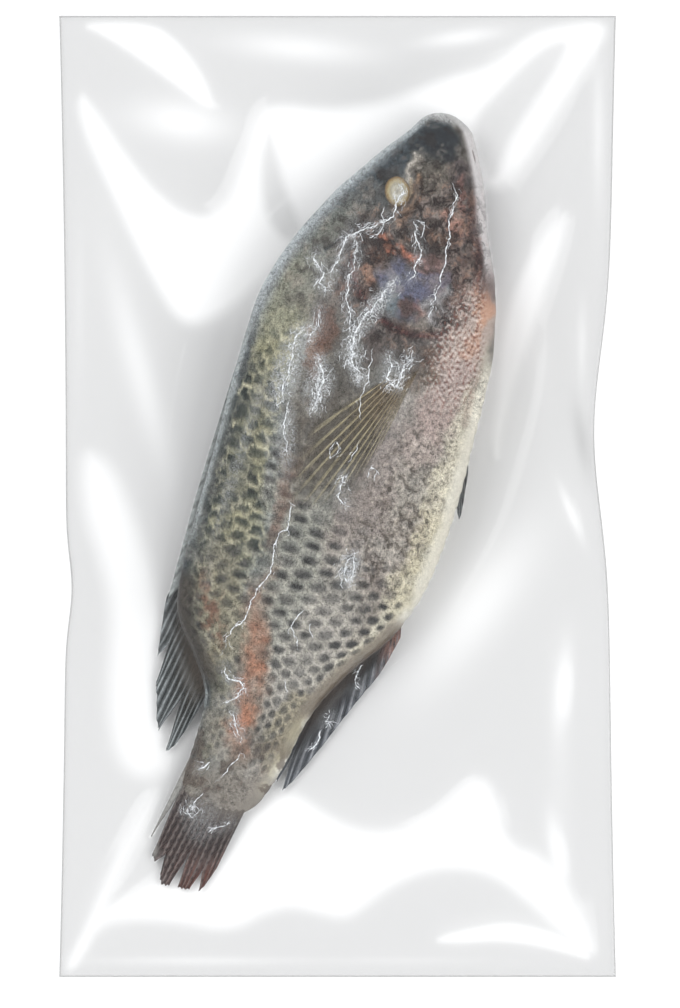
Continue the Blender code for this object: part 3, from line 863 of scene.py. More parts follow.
for name, line, tint in LIPS:
    shares = np.linspace(0, 1, LIP_POINTS)
    spots = curve_at(line, shares)
    middles = section_at(spots[:, 0])[3]
    level = np.maximum(middles, flank_height(spots[:, 0], spots[:, 1])) - LIP_RADIUS * LIP_SINK
    path = in_frame(spots[:, 0], spots[:, 1], level)
    sizes = LIP_RADIUS * MM * (0.35 + 0.65 * np.sin(math.pi * shares))
    material, shader, start = new_material(name + "_skin", Roughness=0.35, Coat_Weight=0.3)
    place = start.node("ShaderNodeTexCoord", None, None, "Object")
    shaded = [0.7 * value for value in tint]
    flesh = place.noise(500.0, 4.0, 0.7).ramp((0.3, srgb(*shaded)), (0.7, srgb(*tint)))
    start.feed(shader.inputs["Base Color"], flesh)
    lip_mesh = tube_mesh("fish_" + name, [path], [sizes], TUBE_ROUNDNESS)
    lip = finished("fish_" + name, lip_mesh, material)
    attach(lip, "root")
    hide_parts("fish")


# The fins: thin skin stretched over jointed rays, dried out and split between some of the rays.
# They are held between the two plies, and the near pectoral fin lies flat on the flank.
RAY_COLUMNS = 6
FIN_ROWS = 44
SKIN_THICKNESS = 0.35
RAY_RELIEF = 0.28
FIN_FLOOR = 1.6
PECTORAL_LIFT = 0.5
DRAPE_REACH = 1.45
DRAPE_SHARE = 0.94

# Each fin: its root and its free edge as points that a smooth line passes through, its rays, its
# splits (share across, share along where each begins, how wide it opens), its colours from root
# to edge and the colour of its rays
FINS = {
    "tail": (
        ((244, 15.5), (246, 8), (247, 2), (248, -3), (249, -11)),
        ((285.4, 22.2), (291, 20.2), (296.4, 16.6), (301.4, 13.2), (300.4, 8.6), (300, 4),
         (299, -1), (290, -4.4)),
        13,
        ((0.09, 0.50, 1.8), (0.30, 0.86, 1.6), (0.57, 0.72, 1.3), (0.80, 0.80, 1.3)),
        ((140, 134, 126), (66, 58, 57), (80, 66, 64)),
        (150, 142, 138),
    ),
    "soft_dorsal": (
        ((180, 38), (190, 34.5), (199, 29.5), (208, 24.5), (216, 19.5), (224, 15.5)),
        ((199.6, 42.6), (223.8, 38.9), (236, 35.4), (249.2, 30.2), (252.8, 24.5), (232, 18)),
        15,
        ((0.24, 0.60, 2.0), (0.66, 0.46, 2.4)),
        ((84, 74, 64), (52, 53, 52), (92, 97, 99)),
        (206, 212, 214),
    ),
    "spiny_dorsal": (
        ((58, 34), (90, 39), (124, 41), (158, 40), (190, 37)),
        ((70, 40.2), (98, 42.6), (128, 43.0), (162, 42.9), (200, 41.8)),
        17,
        (),
        ((80, 84, 86), (138, 143, 142), (178, 183, 182)),
        (120, 126, 126),
    ),
    "anal": (
        ((176, -41.5), (184, -38), (193, -33), (202, -28), (211, -23.5), (219, -20)),
        ((188, -44.4), (203, -41.0), (218, -35.0), (236, -28.0), (254.4, -19.6), (251, -15.6)),
        13,
        ((0.88, 0.66, 1.8),),
        ((70, 58, 48), (38, 37, 40), (88, 92, 98)),
        (186, 188, 192),
    ),
    "pelvic": (
        ((90, -40), (95, -41), (100, -41)),
        ((124, -50.6), (140, -52.4), (134, -48.6)),
        6,
        (),
        ((190, 184, 170), (150, 152, 150), (74, 78, 82)),
        (190, 190, 184),
    ),
    "pectoral": (
        ((90, -22), (93, -19), (95, -14)),
        ((124, -16.5), (143, -9), (154, 2), (148, 11), (122, 10)),
        11,
        (),
        ((112, 92, 70), (136, 126, 102), (146, 140, 126)),
        (176, 166, 138),
    ),
}


def curve_through(points, share):
    """Points at these shares of a smooth line that passes through the given points."""
    points = np.array(points, float)
    ends = np.concatenate((2 * points[:1] - points[1:2], points, 2 * points[-1:] - points[-2:-1]))
    place = np.clip(share, 0, 1) * (len(points) - 1)
    i = np.minimum(place.astype(int), len(points) - 2)
    part = (place - i)[:, None]
    before, low, high, after = ends[i], ends[i + 1], ends[i + 2], ends[i + 3]
    return cubic(low, high, (high - before) / 2, (after - low) / 2, part)


def film_height(distance, offset):
    """The height at which the plies meet beside the fish, falling away from its outline."""
    back, belly, half, middle = section_at(distance)
    beyond = np.maximum(np.maximum(-distance, distance - BODY_LENGTH), 0)
    beside = np.maximum(np.maximum(offset - back, belly - offset), 0)
    share = np.minimum(1.0, np.hypot(beyond, beside) / (middle * DRAPE_REACH))
    return middle * DRAPE_SHARE * (1 - share) ** 2


def fin_mesh(name, root, edge, rays, splits):
    """A fin's thin closed sheet, ridged along its rays and cut open along its splits."""
    columns = rays * RAY_COLUMNS
    bm = bmesh.new()
    bmesh.ops.create_grid(bm, x_segments=columns, y_segments=FIN_ROWS, size=0.5)
    cut_columns = [(round(place * columns), begin) for place, begin, width in splits]
    cuts = []
    for seam in bm.edges:
        one, two = (vert.co for vert in seam.verts)
        column = round((one.x + 0.5) * columns)
        if abs(one.x - two.x) > 1e-6:
            continue
        low = min(one.y, two.y) + 0.5
        cuts += [seam for place, begin in cut_columns if column == place and low > begin - 1e-6]
    bmesh.ops.split_edges(bm, edges=cuts)
    made = bmesh.ops.extrude_face_region(bm, geom=bm.faces[:], use_keep_orig=True)
    top_verts = {item for item in made["geom"] if isinstance(item, bmesh.types.BMVert)}
    bm.verts.index_update()
    spots = np.array([vert.co[:2] for vert in bm.verts]) + 0.5
    top = np.array([vert in top_verts for vert in bm.verts])
    across, along = spots[:, 0], spots[:, 1]
    middle_of = np.array([
        sum(face.calc_center_median().x for face in vert.link_faces) / len(vert.link_faces)
        for vert in bm.verts
    ]) + 0.5
    bounds = [0.0, *(place / columns for place, begin in cut_columns), 1.0]
    moved = across.copy()
    for k, (low, high) in enumerate(zip(bounds, bounds[1:])):
        inside = (middle_of > low) & (middle_of < high)
        for side, at_edge in ((k - 1, low), (k, high)):
            if not 0 <= side < len(splits):
                continue
            begin, width = splits[side][1], splits[side][2]
            opened = smooth((along - begin) / (1.02 - begin)) * width * 0.5 / rays
            nearness = np.clip(1 - np.abs(across - at_edge) * rays / 1.6, 0, 1)
            pull = opened * nearness * (1 if side == k - 1 else -1)
            moved = np.where(inside, moved + pull, moved)
    on_ray = 0.5 - 0.5 * np.cos(2 * math.pi * rays * across)
    tip = 0.5 + 0.5 * cloud(across * rays, np.zeros(len(across)), 2.2, len(name), 2)
    fringe = (0.008 + 0.016 * tip) * (1 - on_ray) * along ** 4 + 0.035 * tip * along ** 3
    reached = along * (1 - fringe)
    low, high = curve_through(root, moved), curve_through(edge, moved)
    plan = low + (high - low) * reached[:, None]
    if name == "pectoral":
        level = flank_height(plan[:, 0], plan[:, 1]) + PECTORAL_LIFT
    else:
        start_level = film_height(low[:, 0], low[:, 1])
        end_level = np.maximum(FIN_FLOOR, film_height(high[:, 0], high[:, 1]))
        level = start_level + (end_level - start_level) * reached
    ridge = RAY_RELIEF * on_ray ** 2 * (1 - 0.6 * along)
    ripple = 0.2 * cloud(plan[:, 0], plan[:, 1], 9, 21, 2)
    level = level + ripple + np.where(top, SKIN_THICKNESS / 2 + ridge, -SKIN_THICKNESS / 2 - ridge)
    for vert, place in zip(bm.verts, in_frame(plan[:, 0], plan[:, 1], level)):
        vert.co = place
    bmesh.ops.recalc_face_normals(bm, faces=bm.faces)
    mesh = mesh_of(name, bm)
    keep_map(mesh, "fin", across, along)
    keep_map(mesh, "flank", plan[:, 0] / DECIMETRE, plan[:, 1] / DECIMETRE)
    return mesh


fins = []
for name, (root, edge, rays, splits, tints, ray_tint) in FINS.items():
    material, shader, start = new_material(name + "_skin", Roughness=0.45, Coat_Weight=0.12)
    shader.inputs["Specular IOR Level"].default_value = 0.22
    fin_map = start.node("ShaderNodeUVMap", {"uv_map": "fin"})
    flank = start.node("ShaderNodeUVMap", {"uv_map": "flank"})
    across = start.node("ShaderNodeSeparateXYZ", None, {0: fin_map})
    along = start.node("ShaderNodeSeparateXYZ", None, {0: fin_map}, 1)
    streaks = fin_map.noise(1.0, 4.0, 0.6, stretch=(0.22 / rays, 0.35, 1))
    base = (along + (streaks - 0.5) * 0.5).ramp(
        (0.12, srgb(*tints[0])), (0.55, srgb(*tints[1])), (0.95, srgb(*tints[2]))
    )
    ray = (across * (2 * math.pi * rays) + (streaks - 0.5) * 2.0 + math.pi / 2).wave() * -0.5 + 0.5
    begun = along.step(0.5, 0.8) if name == "anal" else along.step(0.28, 0.55)
    if name == "tail":
        begun = (along - across * 0.12).step(0.24, 0.55)
    lines = ray.step(0.6, 0.95) * (streaks * 2.4 - 0.5).held() * begun
    base = base.blend(lines * (along * 0.9 + 0.05).held() * 0.65, srgb(*ray_tint))
    gaps = ray.step(0.4, 0.05) * (1.6 - streaks * 2).held() * begun * 0.8
    base = base.blend(gaps, srgb(*(0.25 * value for value in tints[1])))
    if name == "tail":
        joints = ((along * 88.0).wave() * (across * (2 * math.pi * rays) + 0.6).wave())
        dots = joints.step(0.15, 0.7) * begun
        base = base.blend(dots * 0.75, srgb(44, 36, 37))
        red = along.step(0.66, 0.9) * across.step(0.4, 0.6) * streaks.step(0.4, 0.6) * 0.5
        base = base.blend(red, srgb(124, 82, 72))
        base = base.blend(across.step(0.12, 0.05) * along.step(0.2, 0.5) * 0.7, srgb(168, 168, 164))
        worn = across.step(0.3, 0.16) * along.step(0.86, 0.97) * 0.6
        base = base.blend(worn, srgb(150, 150, 146))
    if name == "pectoral":
        rays_seen = ray.step(0.66, 0.98) * (streaks * 2.6 - 0.75).held()
        sides = across.step(0.0, 0.12) * across.step(1.0, 0.86)
        skin_seen = along.step(0.6, 0.1) * 0.3 * sides + streaks * 0.12
        seen = (rays_seen * 0.95 + skin_seen).held()
        base = base.blend(rays_seen * 0.7, srgb(*ray_tint))
        start.feed(shader.inputs["Alpha"], seen * along.step(1.02, 0.7) * along.step(0.0, 0.12))
    if name == "anal":
        spines = across.step(0.3, 0.04) * along.step(0.25, 0.6) * streaks.step(0.35, 0.6)
        base = base.blend(spines * 0.8, srgb(168, 120, 104))
    start.feed(shader.inputs["Base Color"], speckled(start, base, flank, 0.7))
    fin = finished("fish_" + name + "_fin", fin_mesh(name, root, edge, rays, splits), material)
    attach(fin, "root")
    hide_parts("fish")
    fins.append(fin)


# The pouch's film: two plies of clear plastic, heat sealed round the edge, drawn down over the
# fish and lying in long soft folds beside it. The white faces on its folds are painted highlights
# and its greyer patches painted shade, set by how clear the film is at each place.
POUCH_WIDTH = 205.0
POUCH_LENGTH = 354.0
WAIST = 2.4
LEFT_TUCK = (2.2, -34.0, 16.0)
RIGHT_TUCK = (5.6, 24.0, 40.0)
SEAL_WIDTH = 7.0
SEAL_THICKNESS = 0.8
SLACK_THICKNESS = 1.6
FOLD_RISE = 3.4
FILM_COLUMNS = 205
FILM_LINES = 354
FILM_GAP = 0.4
FISH_ENDS = (-6, 306)
FISH_SIDE = 60
ABOVE_ALL = 0.1
SETTLING = 70
LAST_SETTLING = 3
CLING_GAP = 2.2
CLING_RUN = 1.6

# Painted highlights and painted shade on the faces of the folds: outline in millimetres,
# softness of its edge and how white
FACES = (
    # the crescent in the top left corner
    (((-95, 174), (-69, 174), (-60, 168), (-51, 157), (-45, 143), (-49, 144), (-58, 151),
      (-73, 162), (-87, 171)), 2.2, 1.0),
    # the broad face above the back, which runs on into the top right corner
    (((-95, 148), (-89, 141), (-82, 130), (-74, 119), (-67, 111), (-58, 104), (-49, 102),
      (-41, 107), (-37, 116), (-32, 131), (-28, 141), (-23, 144), (-3, 142), (12, 144), (23, 147),
      (40, 154), (51, 156), (60, 160), (69, 168), (78, 172), (101, 175), (91, 160), (82, 144),
      (71, 126), (58, 109), (38, 124), (5, 109), (-14, 92), (-27, 81), (-36, 72), (-45, 66),
      (-54, 63), (-60, 67), (-65, 76), (-74, 94), (-84, 116), (-93, 135)), 3.6, 1.0),
    # the hollow beside the snout
    (((86, 168), (82, 159), (73, 146), (63, 131), (57, 114), (52, 127), (49, 138), (60, 151),
      (71, 162), (80, 168)), 2.9, 0.0),
    # the shaded leaf above the nape
    (((-25, 137), (-23, 127), (-20, 114), (-15, 103), (-12, 94), (-19, 93), (-26, 102),
      (-28, 113), (-28, 126)), 2.6, 0.05),
    # the wedge beside the throat
    (((85, 107), (83, 96), (78, 81), (73, 65), (67, 48), (63, 34), (60, 21), (59, 12), (57, 21),
      (59, 35), (60, 50), (62, 65), (67, 81), (76, 96)), 2.6, 0.8),
    # the fold beside the dorsal fin
    (((-93, 16), (-87, 14), (-82, 8), (-78, -1), (-73, -14), (-68, -31), (-66, -45), (-67, -60),
      (-66, -82), (-63, -99), (-69, -104), (-78, -101), (-83, -89), (-84, -71), (-83, -53),
      (-83, -38), (-87, -23), (-92, -9), (-94, 6)), 5.1, 0.65),
    # the streak in the bottom left corner
    (((-100, -176), (-96, -168), (-89, -150), (-82, -134), (-73, -117), (-66, -106), (-68, -115),
      (-76, -130), (-83, -145), (-89, -157), (-93, -167)), 2.9, 0.8),
    # the broad face below the tail
    (((-99, -175), (-95, -165), (-87, -157), (-76, -155), (-58, -156), (-45, -159), (-36, -158),
      (-28, -153), (-17, -150), (-6, -153), (3, -155), (10, -150), (19, -143), (30, -138),
      (40, -136), (51, -137), (60, -140), (71, -149), (82, -159), (95, -171), (91, -157),
      (82, -141), (73, -132), (65, -130), (60, -123), (58, -112), (54, -104), (49, -106),
      (38, -117), (23, -124), (8, -124), (-6, -117), (-17, -108), (-28, -112), (-34, -123),
      (-41, -134), (-58, -137), (-76, -148), (-87, -153)), 4.0, 0.85),
    # the leaf in the bottom right corner
    (((35, -164), (41, -161), (51, -159), (62, -157), (73, -159), (82, -162), (95, -171),
      (85, -168), (74, -165), (60, -163), (47, -164)), 1.8, 1.0),
)

# Soft painted highlights where the film only swells: centre, reach, lean in degrees and how
# white, or less than 0 for a patch of painted shade
PAINTED_GLEAMS = (
    ((-14, 165), (31, 5.9), -5, 0.75),
    ((45, 169), (18, 3.3), 8, 0.8),
    ((-57, 138), (22, 8.8), -8, 0.8),
    ((-73, 46), (48, 6.2), -75, 0.7),
    ((96, 135), (31, 2.2), -90, 0.6),
    ((90, 56), (18, 1.8), -90, 0.6),
    ((86, -6), (12, 1.8), -68, 0.9),
    ((49, -42), (42, 14), 52, 0.8),
    ((83, -71), (18, 3.3), -95, 0.95),
    ((81, -130), (15, 3.3), -80, 0.9),
    ((82, -97), (48, 5.1), -90, 0.35),
    ((-95, 72), (37, 2.2), -90, 0.35),
    ((-51, -171), (44, 1.8), 0, 0.6),
    ((23, -171), (37, 1.8), 0, 0.4),
    ((90, 21), (17, 3.3), -80, -0.45),
    ((74, 138), (30, 10), 60, -0.25),
    ((-100, -29), (6, 1.8), -90, -0.7),
    ((76, 50), (22, 4.4), -90, 0.35),
)


def side_edge(y, side):
    """How far the pouch's side lies from its middle line, in millimetres."""
    tucks = np.where((side < 0)[..., None], LEFT_TUCK, RIGHT_TUCK)
    tuck = tucks[..., 0] * np.exp(-(((y - tucks[..., 1]) / tucks[..., 2]) ** 2))
    return POUCH_WIDTH / 2 - WAIST * (1 - (2 * y / POUCH_LENGTH) ** 2) - tuck


def rounded(outline):
    """A closed outline with its corners softened, as more points."""
    points = np.array(outline, float)
    for each in range(2):
        following = np.roll(points, -1, axis=0)
        points = np.stack((points * 0.75 + following * 0.25, points * 0.25 + following * 0.75), 1)
        points = points.reshape(-1, 2)
    return points


def inside_by(x, y, outline):
    """How far inside a closed outline each point lies, less than 0 outside it."""
    ring = [tuple(point) for point in rounded(outline)]
    reach = line_reach(x, y, ring + ring[:1])
    inside = np.zeros(x.shape, bool)
    for (x0, y0), (x1, y1) in zip(ring, ring[1:] + ring[:1]):
        if y0 != y1:
            crosses = (y0 > y) != (y1 > y)
            inside ^= crosses & (x < (x1 - x0) * (y - y0) / (y1 - y0) + x0)
    return np.where(inside, reach, -reach)


bm = bmesh.new()
bmesh.ops.create_grid(bm, x_segments=FILM_COLUMNS, y_segments=FILM_LINES, size=0.5)
film_mesh = mesh_of("pouch_film", bm)
grid = points_of(film_mesh)
column = np.rint((grid[:, 0] + 0.5) * FILM_COLUMNS).astype(int)
line = np.rint((grid[:, 1] + 0.5) * FILM_LINES).astype(int)
film_y = grid[:, 1] * POUCH_LENGTH
film_x = 2 * grid[:, 0] * side_edge(film_y, grid[:, 0])
to_side = side_edge(film_y, film_x) - np.abs(film_x)
edge_reach = np.minimum(to_side, POUCH_LENGTH / 2 - np.abs(film_y))

contents = bmesh.new()
for piece in [fish_body, fish_eye, *fins]:
    contents.from_mesh(piece.data)
tree = BVHTree.FromBMesh(contents)
contents.free()
fish_along, fish_across = on_fish(film_x, film_y)
near = (fish_along > FISH_ENDS[0]) & (fish_along < FISH_ENDS[1])
near = near & (np.abs(fish_across) < FISH_SIDE)
under = np.zeros(len(grid))
for i in np.flatnonzero(near):
    hit = tree.ray_cast((film_x[i] * MM, film_y[i] * MM, ABOVE_ALL), (0, 0, -1))[0]
    if hit:
        under[i] = hit.z / MM

# The painted lightness of each place on the film: high for its painted highlights, low for its
# painted shade
painted_lightness = np.zeros(len(grid))
swell = np.zeros(len(grid))
for outline, soft, white in FACES:
    mask = smooth(0.5 + inside_by(film_x, film_y, outline) / (2 * soft))
    painted_lightness += (white - painted_lightness) * mask
    broad = smooth(0.5 + inside_by(film_x, film_y, outline) / 14)
    swell = np.maximum(swell, broad * (0.4 + 0.6 * white))
for centre, reach, lean, white in PAINTED_GLEAMS:
    mask = np.exp(-1.6 * oval_reach(film_x, film_y, centre, reach, lean) ** 2)
    painted_lightness += (white - painted_lightness) * mask * white if white > 0 else white * mask
    swell = np.maximum(swell, 0.5 * mask * max(white, 0))

free = smooth((edge_reach - SEAL_WIDTH * 0.6) / SEAL_WIDTH)
slack = SEAL_THICKNESS + (SLACK_THICKNESS - SEAL_THICKNESS) * free
slack = slack + FOLD_RISE * swell * smooth((edge_reach - SEAL_WIDTH * 0.6) / 16)
rest = np.maximum(slack, film_height(fish_along, fish_across) * free)
lowest = np.where(under > 0, under + FILM_GAP, 0.0)
shape = (FILM_LINES + 1, FILM_COLUMNS + 1)
floor_grid, sheet = np.zeros(shape), np.zeros(shape)
floor_grid[line, column] = np.maximum(lowest, np.minimum(rest, 1.2))
sheet[line, column] = np.maximum(rest, lowest)
# Over the fish the film is drawn tight like a drum's skin, and at the last it is eased all over
held = np.zeros(shape, bool)
held[line, column] = under > 0
inner = (slice(1, -1), slice(1, -1))
for step in range(SETTLING + LAST_SETTLING):
    mean = (sheet[:-2, 1:-1] + sheet[2:, 1:-1] + sheet[1:-1, :-2] + sheet[1:-1, 2:]) / 4
    moves = held[inner] | (step >= SETTLING)
    sheet[inner] = np.where(moves, np.maximum(floor_grid[inner], mean), sheet[inner])
film_z = sheet[line, column]
cling = smooth((CLING_GAP - (film_z - under)) / CLING_RUN) * (under > 0)

placed = np.stack((film_x, film_y, film_z), axis=-1) * MM
move_points(film_mesh, placed)
# A skirt down to the floor and a flat face under it make the two plies one closed skin
bm = bmesh.new()
bm.from_mesh(film_mesh)
made = bmesh.ops.extrude_edge_only(bm, edges=[edge for edge in bm.edges if edge.is_boundary])
low_verts = [item for item in made["geom"] if isinstance(item, bmesh.types.BMVert)]
for vert in low_verts:
    vert.co.z = 0.0
low_edges = [item for item in made["geom"] if isinstance(item, bmesh.types.BMEdge)]
bmesh.ops.contextual_create(bm, geom=[edge for edge in low_edges if edge.is_boundary])
bmesh.ops.recalc_face_normals(bm, faces=bm.faces)
bm.to_mesh(film_mesh)
bm.free()
for name, values, below in (
    ("white", painted_lightness, 1.0), ("cling", cling, 0.0), ("edge", edge_reach, SEAL_WIDTH),
):
    keep_values(film_mesh, name, np.append(values, np.full(len(low_verts), below)))

# The film is a faint grey veil over the pale floor, and the veil goes where a face is white, so
# the white faces are painted highlights and the greyer ones painted shade
GREY_ALPHA = 0.206
CLING_ALPHA = 0.008
EDGE_ALPHA = 0.3
LEAST_ALPHA = 0.004
material, shader, start = new_material("clear_film", Roughness=0.12, IOR=1.9)
painted_lightness_at = start.stored("white")
cling_at = start.stored("cling")
edge_at = start.stored("edge")
tint = cling_at.ramp(
    (0.0, (0.01, 0.01, 0.01)), (1.0, (0.55, 0.57, 0.58))
)
start.feed(shader.inputs["Base Color"], tint)
start.feed(shader.inputs["Roughness"], 0.12 + cling_at * 0.3)
haze_at = start.stored("haze")
place = start.node("ShaderNodeTexCoord", None, None, "Object")
lace = place.noise(1500.0, 3.0, 0.85).step(0.44, 0.64) * 0.8 + 0.08
clear = (1 - painted_lightness_at) * GREY_ALPHA * (1 - cling_at) + cling_at * (CLING_ALPHA + haze_at * lace)
seam = edge_at.step(0.9, 0.2) * EDGE_ALPHA
start.feed(shader.inputs["Alpha"], (clear + seam + LEAST_ALPHA).held())
film = finished("pouch_film", film_mesh, material)
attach(film, "root")
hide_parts("pouch")


# Creases in the film where it clings to the fish: sharp little ridges, pale as creased film is,
# which also glow faintly as a painted highlight. Each is a run of points in millimetres, its width,
# and how densely finer creases gather round it.
CREASES = (
    (((41.7, 114.8), (43.9, 110.1), (40.6, 100.9), (41.3, 94.6), (39.5, 86.2), (37.7, 77.4),
      (35.8, 71.8), (33.6, 64.5)), 0.5, 0.3),
    (((28.1, 100.1), (28.5, 94.6), (30.7, 89.9), (28.8, 85.4), (25.5, 78.5)), 0.6, 0.6),
    (((28.8, 100.9), (31.8, 100.1), (30.3, 94.3)), 0.4, 0.3),
    (((20.8, 78.1), (15.3, 71.8), (9.7, 65.2), (6.1, 59.0), (4.6, 54.2), (5.0, 49.8),
      (7.9, 42.4)), 0.7, 1.8),
    (((23.3, 114.1), (24.4, 110.8), (21.9, 107.9), (18.6, 100.9), (13.8, 98.7), (9.0, 97.2),
      (5.3, 95.4), (3.1, 94.6), (0.6, 86.2), (-2.4, 78.1)), 0.6, 0.9),
    (((17.1, 106.0), (17.1, 100.1), (14.9, 95.7), (12.3, 94.3)), 0.4, 0.4),
    (((6.8, 94.6), (6.4, 87.3), (3.9, 78.1), (3.1, 71.8), (4.6, 61.2)), 0.5, 0.8),
    (((-7.5, 89.1), (-8.6, 86.2), (-5.0, 81.8), (-6.8, 78.1), (-4.2, 75.2)), 0.5, 1.0),
    (((-6.8, 68.2), (-7.5, 61.6), (-10.1, 55.7)), 0.4, 0.9),
    (((-11.9, 61.2), (-16.4, 53.1), (-17.8, 44.7), (-19.7, 36.2)), 0.5, 1.2),
    (((-6.8, 49.8), (-5.0, 42.8), (-7.2, 37.3), (-8.6, 32.5)), 0.7, 1.8),
    (((-17.8, 36.2), (-19.3, 27.7), (-19.3, 21.5), (-17.8, 14.1)), 0.4, 0.5),
    (((-17.5, -1.7), (-17.1, -4.6), (-21.9, -15.3), (-24.1, -25.5), (-25.9, -30.0),
      (-28.8, -33.3), (-32.2, -40.2), (-35.1, -46.5), (-39.9, -50.9), (-41.3, -56.0)), 0.5, 0.25),
    (((13.0, 54.2), (11.2, 44.3), (8.3, 36.2), (8.3, 27.7)), 0.4, 0.15),
    (((18.9, 51.6), (17.8, 43.2), (21.5, 39.9), (24.4, 48.0), (26.6, 49.8)), 0.6, 1.2),
    (((24.4, 48.0), (23.0, 42.8), (19.3, 41.3)), 0.5, 1.0),
    (((-0.6, 20.0), (-2.8, 13.8), (0.2, 16.4), (-0.6, 20.0)), 0.4, 0.4),
    (((7.9, 20.4), (5.3, 14.9), (3.9, 12.3)), 0.35, 0.2),
    (((11.2, 6.8), (12.3, 10.5), (14.5, 9.0), (13.4, 5.3)), 0.4, 0.3),
    (((2.4, 7.9), (0.9, 2.0), (2.4, -3.5)), 0.5, 0.8),
    (((5.7, -22.2), (2.4, -27.0), (3.5, -31.4), (6.1, -25.5), (5.7, -22.2)), 0.5, 1.3),
    (((-12.3, -41.3), (-16.0, -45.8), (-16.0, -50.2), (-14.5, -56.4)), 0.4, 0.1),
    (((-9.7, -46.5), (-9.0, -52.0)), 0.4, 0.1),
    (((-41.3, -62.3), (-40.2, -67.1), (-35.8, -67.8), (-34.4, -70.4), (-36.6, -73.3),
      (-43.2, -76.3)), 0.6, 0.6),
    (((-18.9, -67.1), (-18.9, -72.9)), 0.35, 0.1),
    (((-38.0, -78.8), (-37.7, -83.6), (-35.8, -88.0)), 0.5, 0.8),
    (((-46.9, -97.6), (-49.4, -99.8), (-50.9, -100.1)), 0.6, 0.6),
    (((-35.8, -93.9), (-38.8, -98.3), (-43.2, -103.5)), 0.35, 0.2),
    (((-53.5, -113.0), (-50.9, -115.6), (-53.5, -118.2), (-55.7, -115.6),
      (-53.5, -113.0)), 0.3, 0.8),
    (((-39.5, -119.6), (-43.9, -121.8), (-47.6, -123.7)), 0.4, 0.6),
    (((9.4, -61.9), (7.2, -64.5), (6.4, -67.4), (8.3, -71.1)), 0.5, 0.6),
    (((-2.8, -80.3), (-4.6, -82.9), (-1.7, -82.9)), 0.5, 0.8),
    (((-5.7, -85.8), (-7.9, -91.3), (-10.8, -93.9)), 0.5, 0.4),
    (((-49.4, -109.0), (-52.0, -111.5), (-54.2, -115.9)), 0.4, 0.3),
)

# Where the cling is hazy with fine wrinkles: centre, reach, lean in degrees and how strong
HAZES = (
    ((-18, 47), (5, 15), -20, 0.9),
    ((-7, 41), (5, 8), -14, 0.9),
    ((-18.5, 20), (3, 12), -4, 0.7),
    ((5, 52), (5, 5), 0, 0.6),
    ((12.5, 67), (13, 3.2), 50, 1.0),
    ((21, 46), (3.4, 4.2), 0, 0.6),
    ((-36, 14), (30, 2), 72, 0.4),
    ((2, 90), (16, 3), 70, 0.3),
    ((-50, -118), (6, 8), 0, 0.4),
)
CREASE_LIFT = 0.02
CREASE_STEP = 0.9
CREASE_SEED = 7
draw = np.random.default_rng(CREASE_SEED)


def film_level(x, y):
    """The film's height over plan points, in millimetres."""
    u = np.clip((x / (2 * side_edge(y, x)) + 0.5) * FILM_COLUMNS, 0, FILM_COLUMNS - 1e-6)
    v = np.clip((y / POUCH_LENGTH + 0.5) * FILM_LINES, 0, FILM_LINES - 1e-6)
    i, j = v.astype(int), u.astype(int)
    p, q = v - i, u - j
    low = sheet[i, j] * (1 - q) + sheet[i, j + 1] * q
    return low * (1 - p) + (sheet[i + 1, j] * (1 - q) + sheet[i + 1, j + 1] * q) * p


def crumpled(points, wander):
    """A broken line made more broken: its stretches are halved, each time a little off line."""
    points = np.array(points, float)
    while len(points) < 6 or np.hypot(*np.diff(points, axis=0).T).max() > CREASE_STEP:
        runs = np.diff(points, axis=0)
        aside = np.stack((-runs[:, 1], runs[:, 0]), 1) * draw.normal(0, wander, len(runs))[:, None]
        between = points[:-1] + runs / 2 + aside
        merged = np.empty((len(points) + len(between), 2))
        merged[0::2], merged[1::2] = points, between
        points = merged
    return points


paths, radii = [], []


def add_crease(points, width, wander):
    """Adds one crease, its ends drawn out to points and its width uneven."""
    line = crumpled(points, wander)
    share = np.linspace(0, 1, len(line))
    ends = np.minimum(1, np.minimum(share, 1 - share) * 6 + 0.15)
    sizes = width / 2 * ends * draw.uniform(0.4, 1.1, len(line))
    level = film_level(line[:, 0], line[:, 1]) + CREASE_LIFT
    paths.append(np.c_[line, level] * MM)
    radii.append(sizes * MM)
    return line


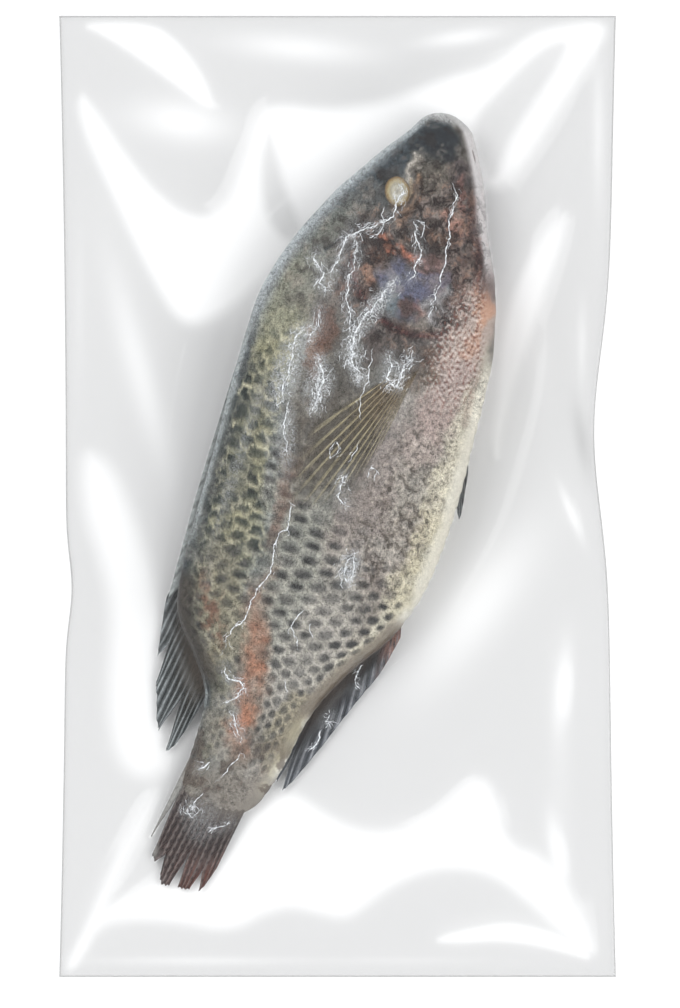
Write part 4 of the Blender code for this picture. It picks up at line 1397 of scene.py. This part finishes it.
haze = np.zeros(len(grid))
for points, width, density in CREASES:
    line = add_crease(points, width, 0.10)
    stretch = np.hypot(*np.diff(line, axis=0).T).sum()
    spread = 0.25 + 1.0 * min(density, 1.6)
    for each in range(int(stretch * density * 1.5)):
        k = draw.integers(0, len(line) - 1)
        direction = line[min(k + 3, len(line) - 1)] - line[max(k - 3, 0)]
        heading = math.atan2(direction[1], direction[0]) + draw.normal(0, 0.38)
        start_point = line[k] + draw.normal(0, spread, 2)
        run = draw.uniform(0.8, 4.2)
        end_point = start_point + run * np.array((math.cos(heading), math.sin(heading)))
        add_crease((start_point, end_point), draw.uniform(0.08, 0.24), 0.16)
    for each in range(int(stretch * max(density - 0.5, 0) * 0.7)):
        centre = line[draw.integers(0, len(line))] + draw.normal(0, spread, 2)
        turns = np.sort(draw.uniform(0, 2 * math.pi, 6))
        reach = draw.uniform(0.4, 1.3, 6)[:, None]
        cell = centre + reach * np.stack((np.cos(turns), np.sin(turns)), 1)
        add_crease([*cell, cell[0]], draw.uniform(0.08, 0.18), 0.1)
    if density > 0.55:
        reach = line_reach(film_x, film_y, points)
        haze = np.maximum(haze, density / 1.8 * np.exp(-((reach / 2.6) ** 2)))
for centre, reach, lean, strength in HAZES:
    haze = np.maximum(haze, strength * patch(film_x, film_y, centre, reach, lean, 1.2))
keep_values(film_mesh, "haze", np.append(haze, np.zeros(len(low_verts))))

material, shader, start = new_material("film_crease", Roughness=0.2)
shader.inputs["Base Color"].default_value = (0.9, 0.92, 0.94, 1.0)
# A faint glow painted on the creases as their highlight, though they are no lamp
shader.inputs["Emission Color"].default_value = (0.85, 0.92, 1.0, 1.0)
shader.inputs["Emission Strength"].default_value = 0.12
place = start.node("ShaderNodeTexCoord", None, None, "Object")
broken = place.noise(700.0, 3.0, 0.7).step(0.34, 0.62) * 0.75 + 0.12
start.feed(shader.inputs["Alpha"], broken)
creases = finished("film_creases", tube_mesh("film_creases", paths, radii, 0), material)
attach(creases, "root")
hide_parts("pouch")
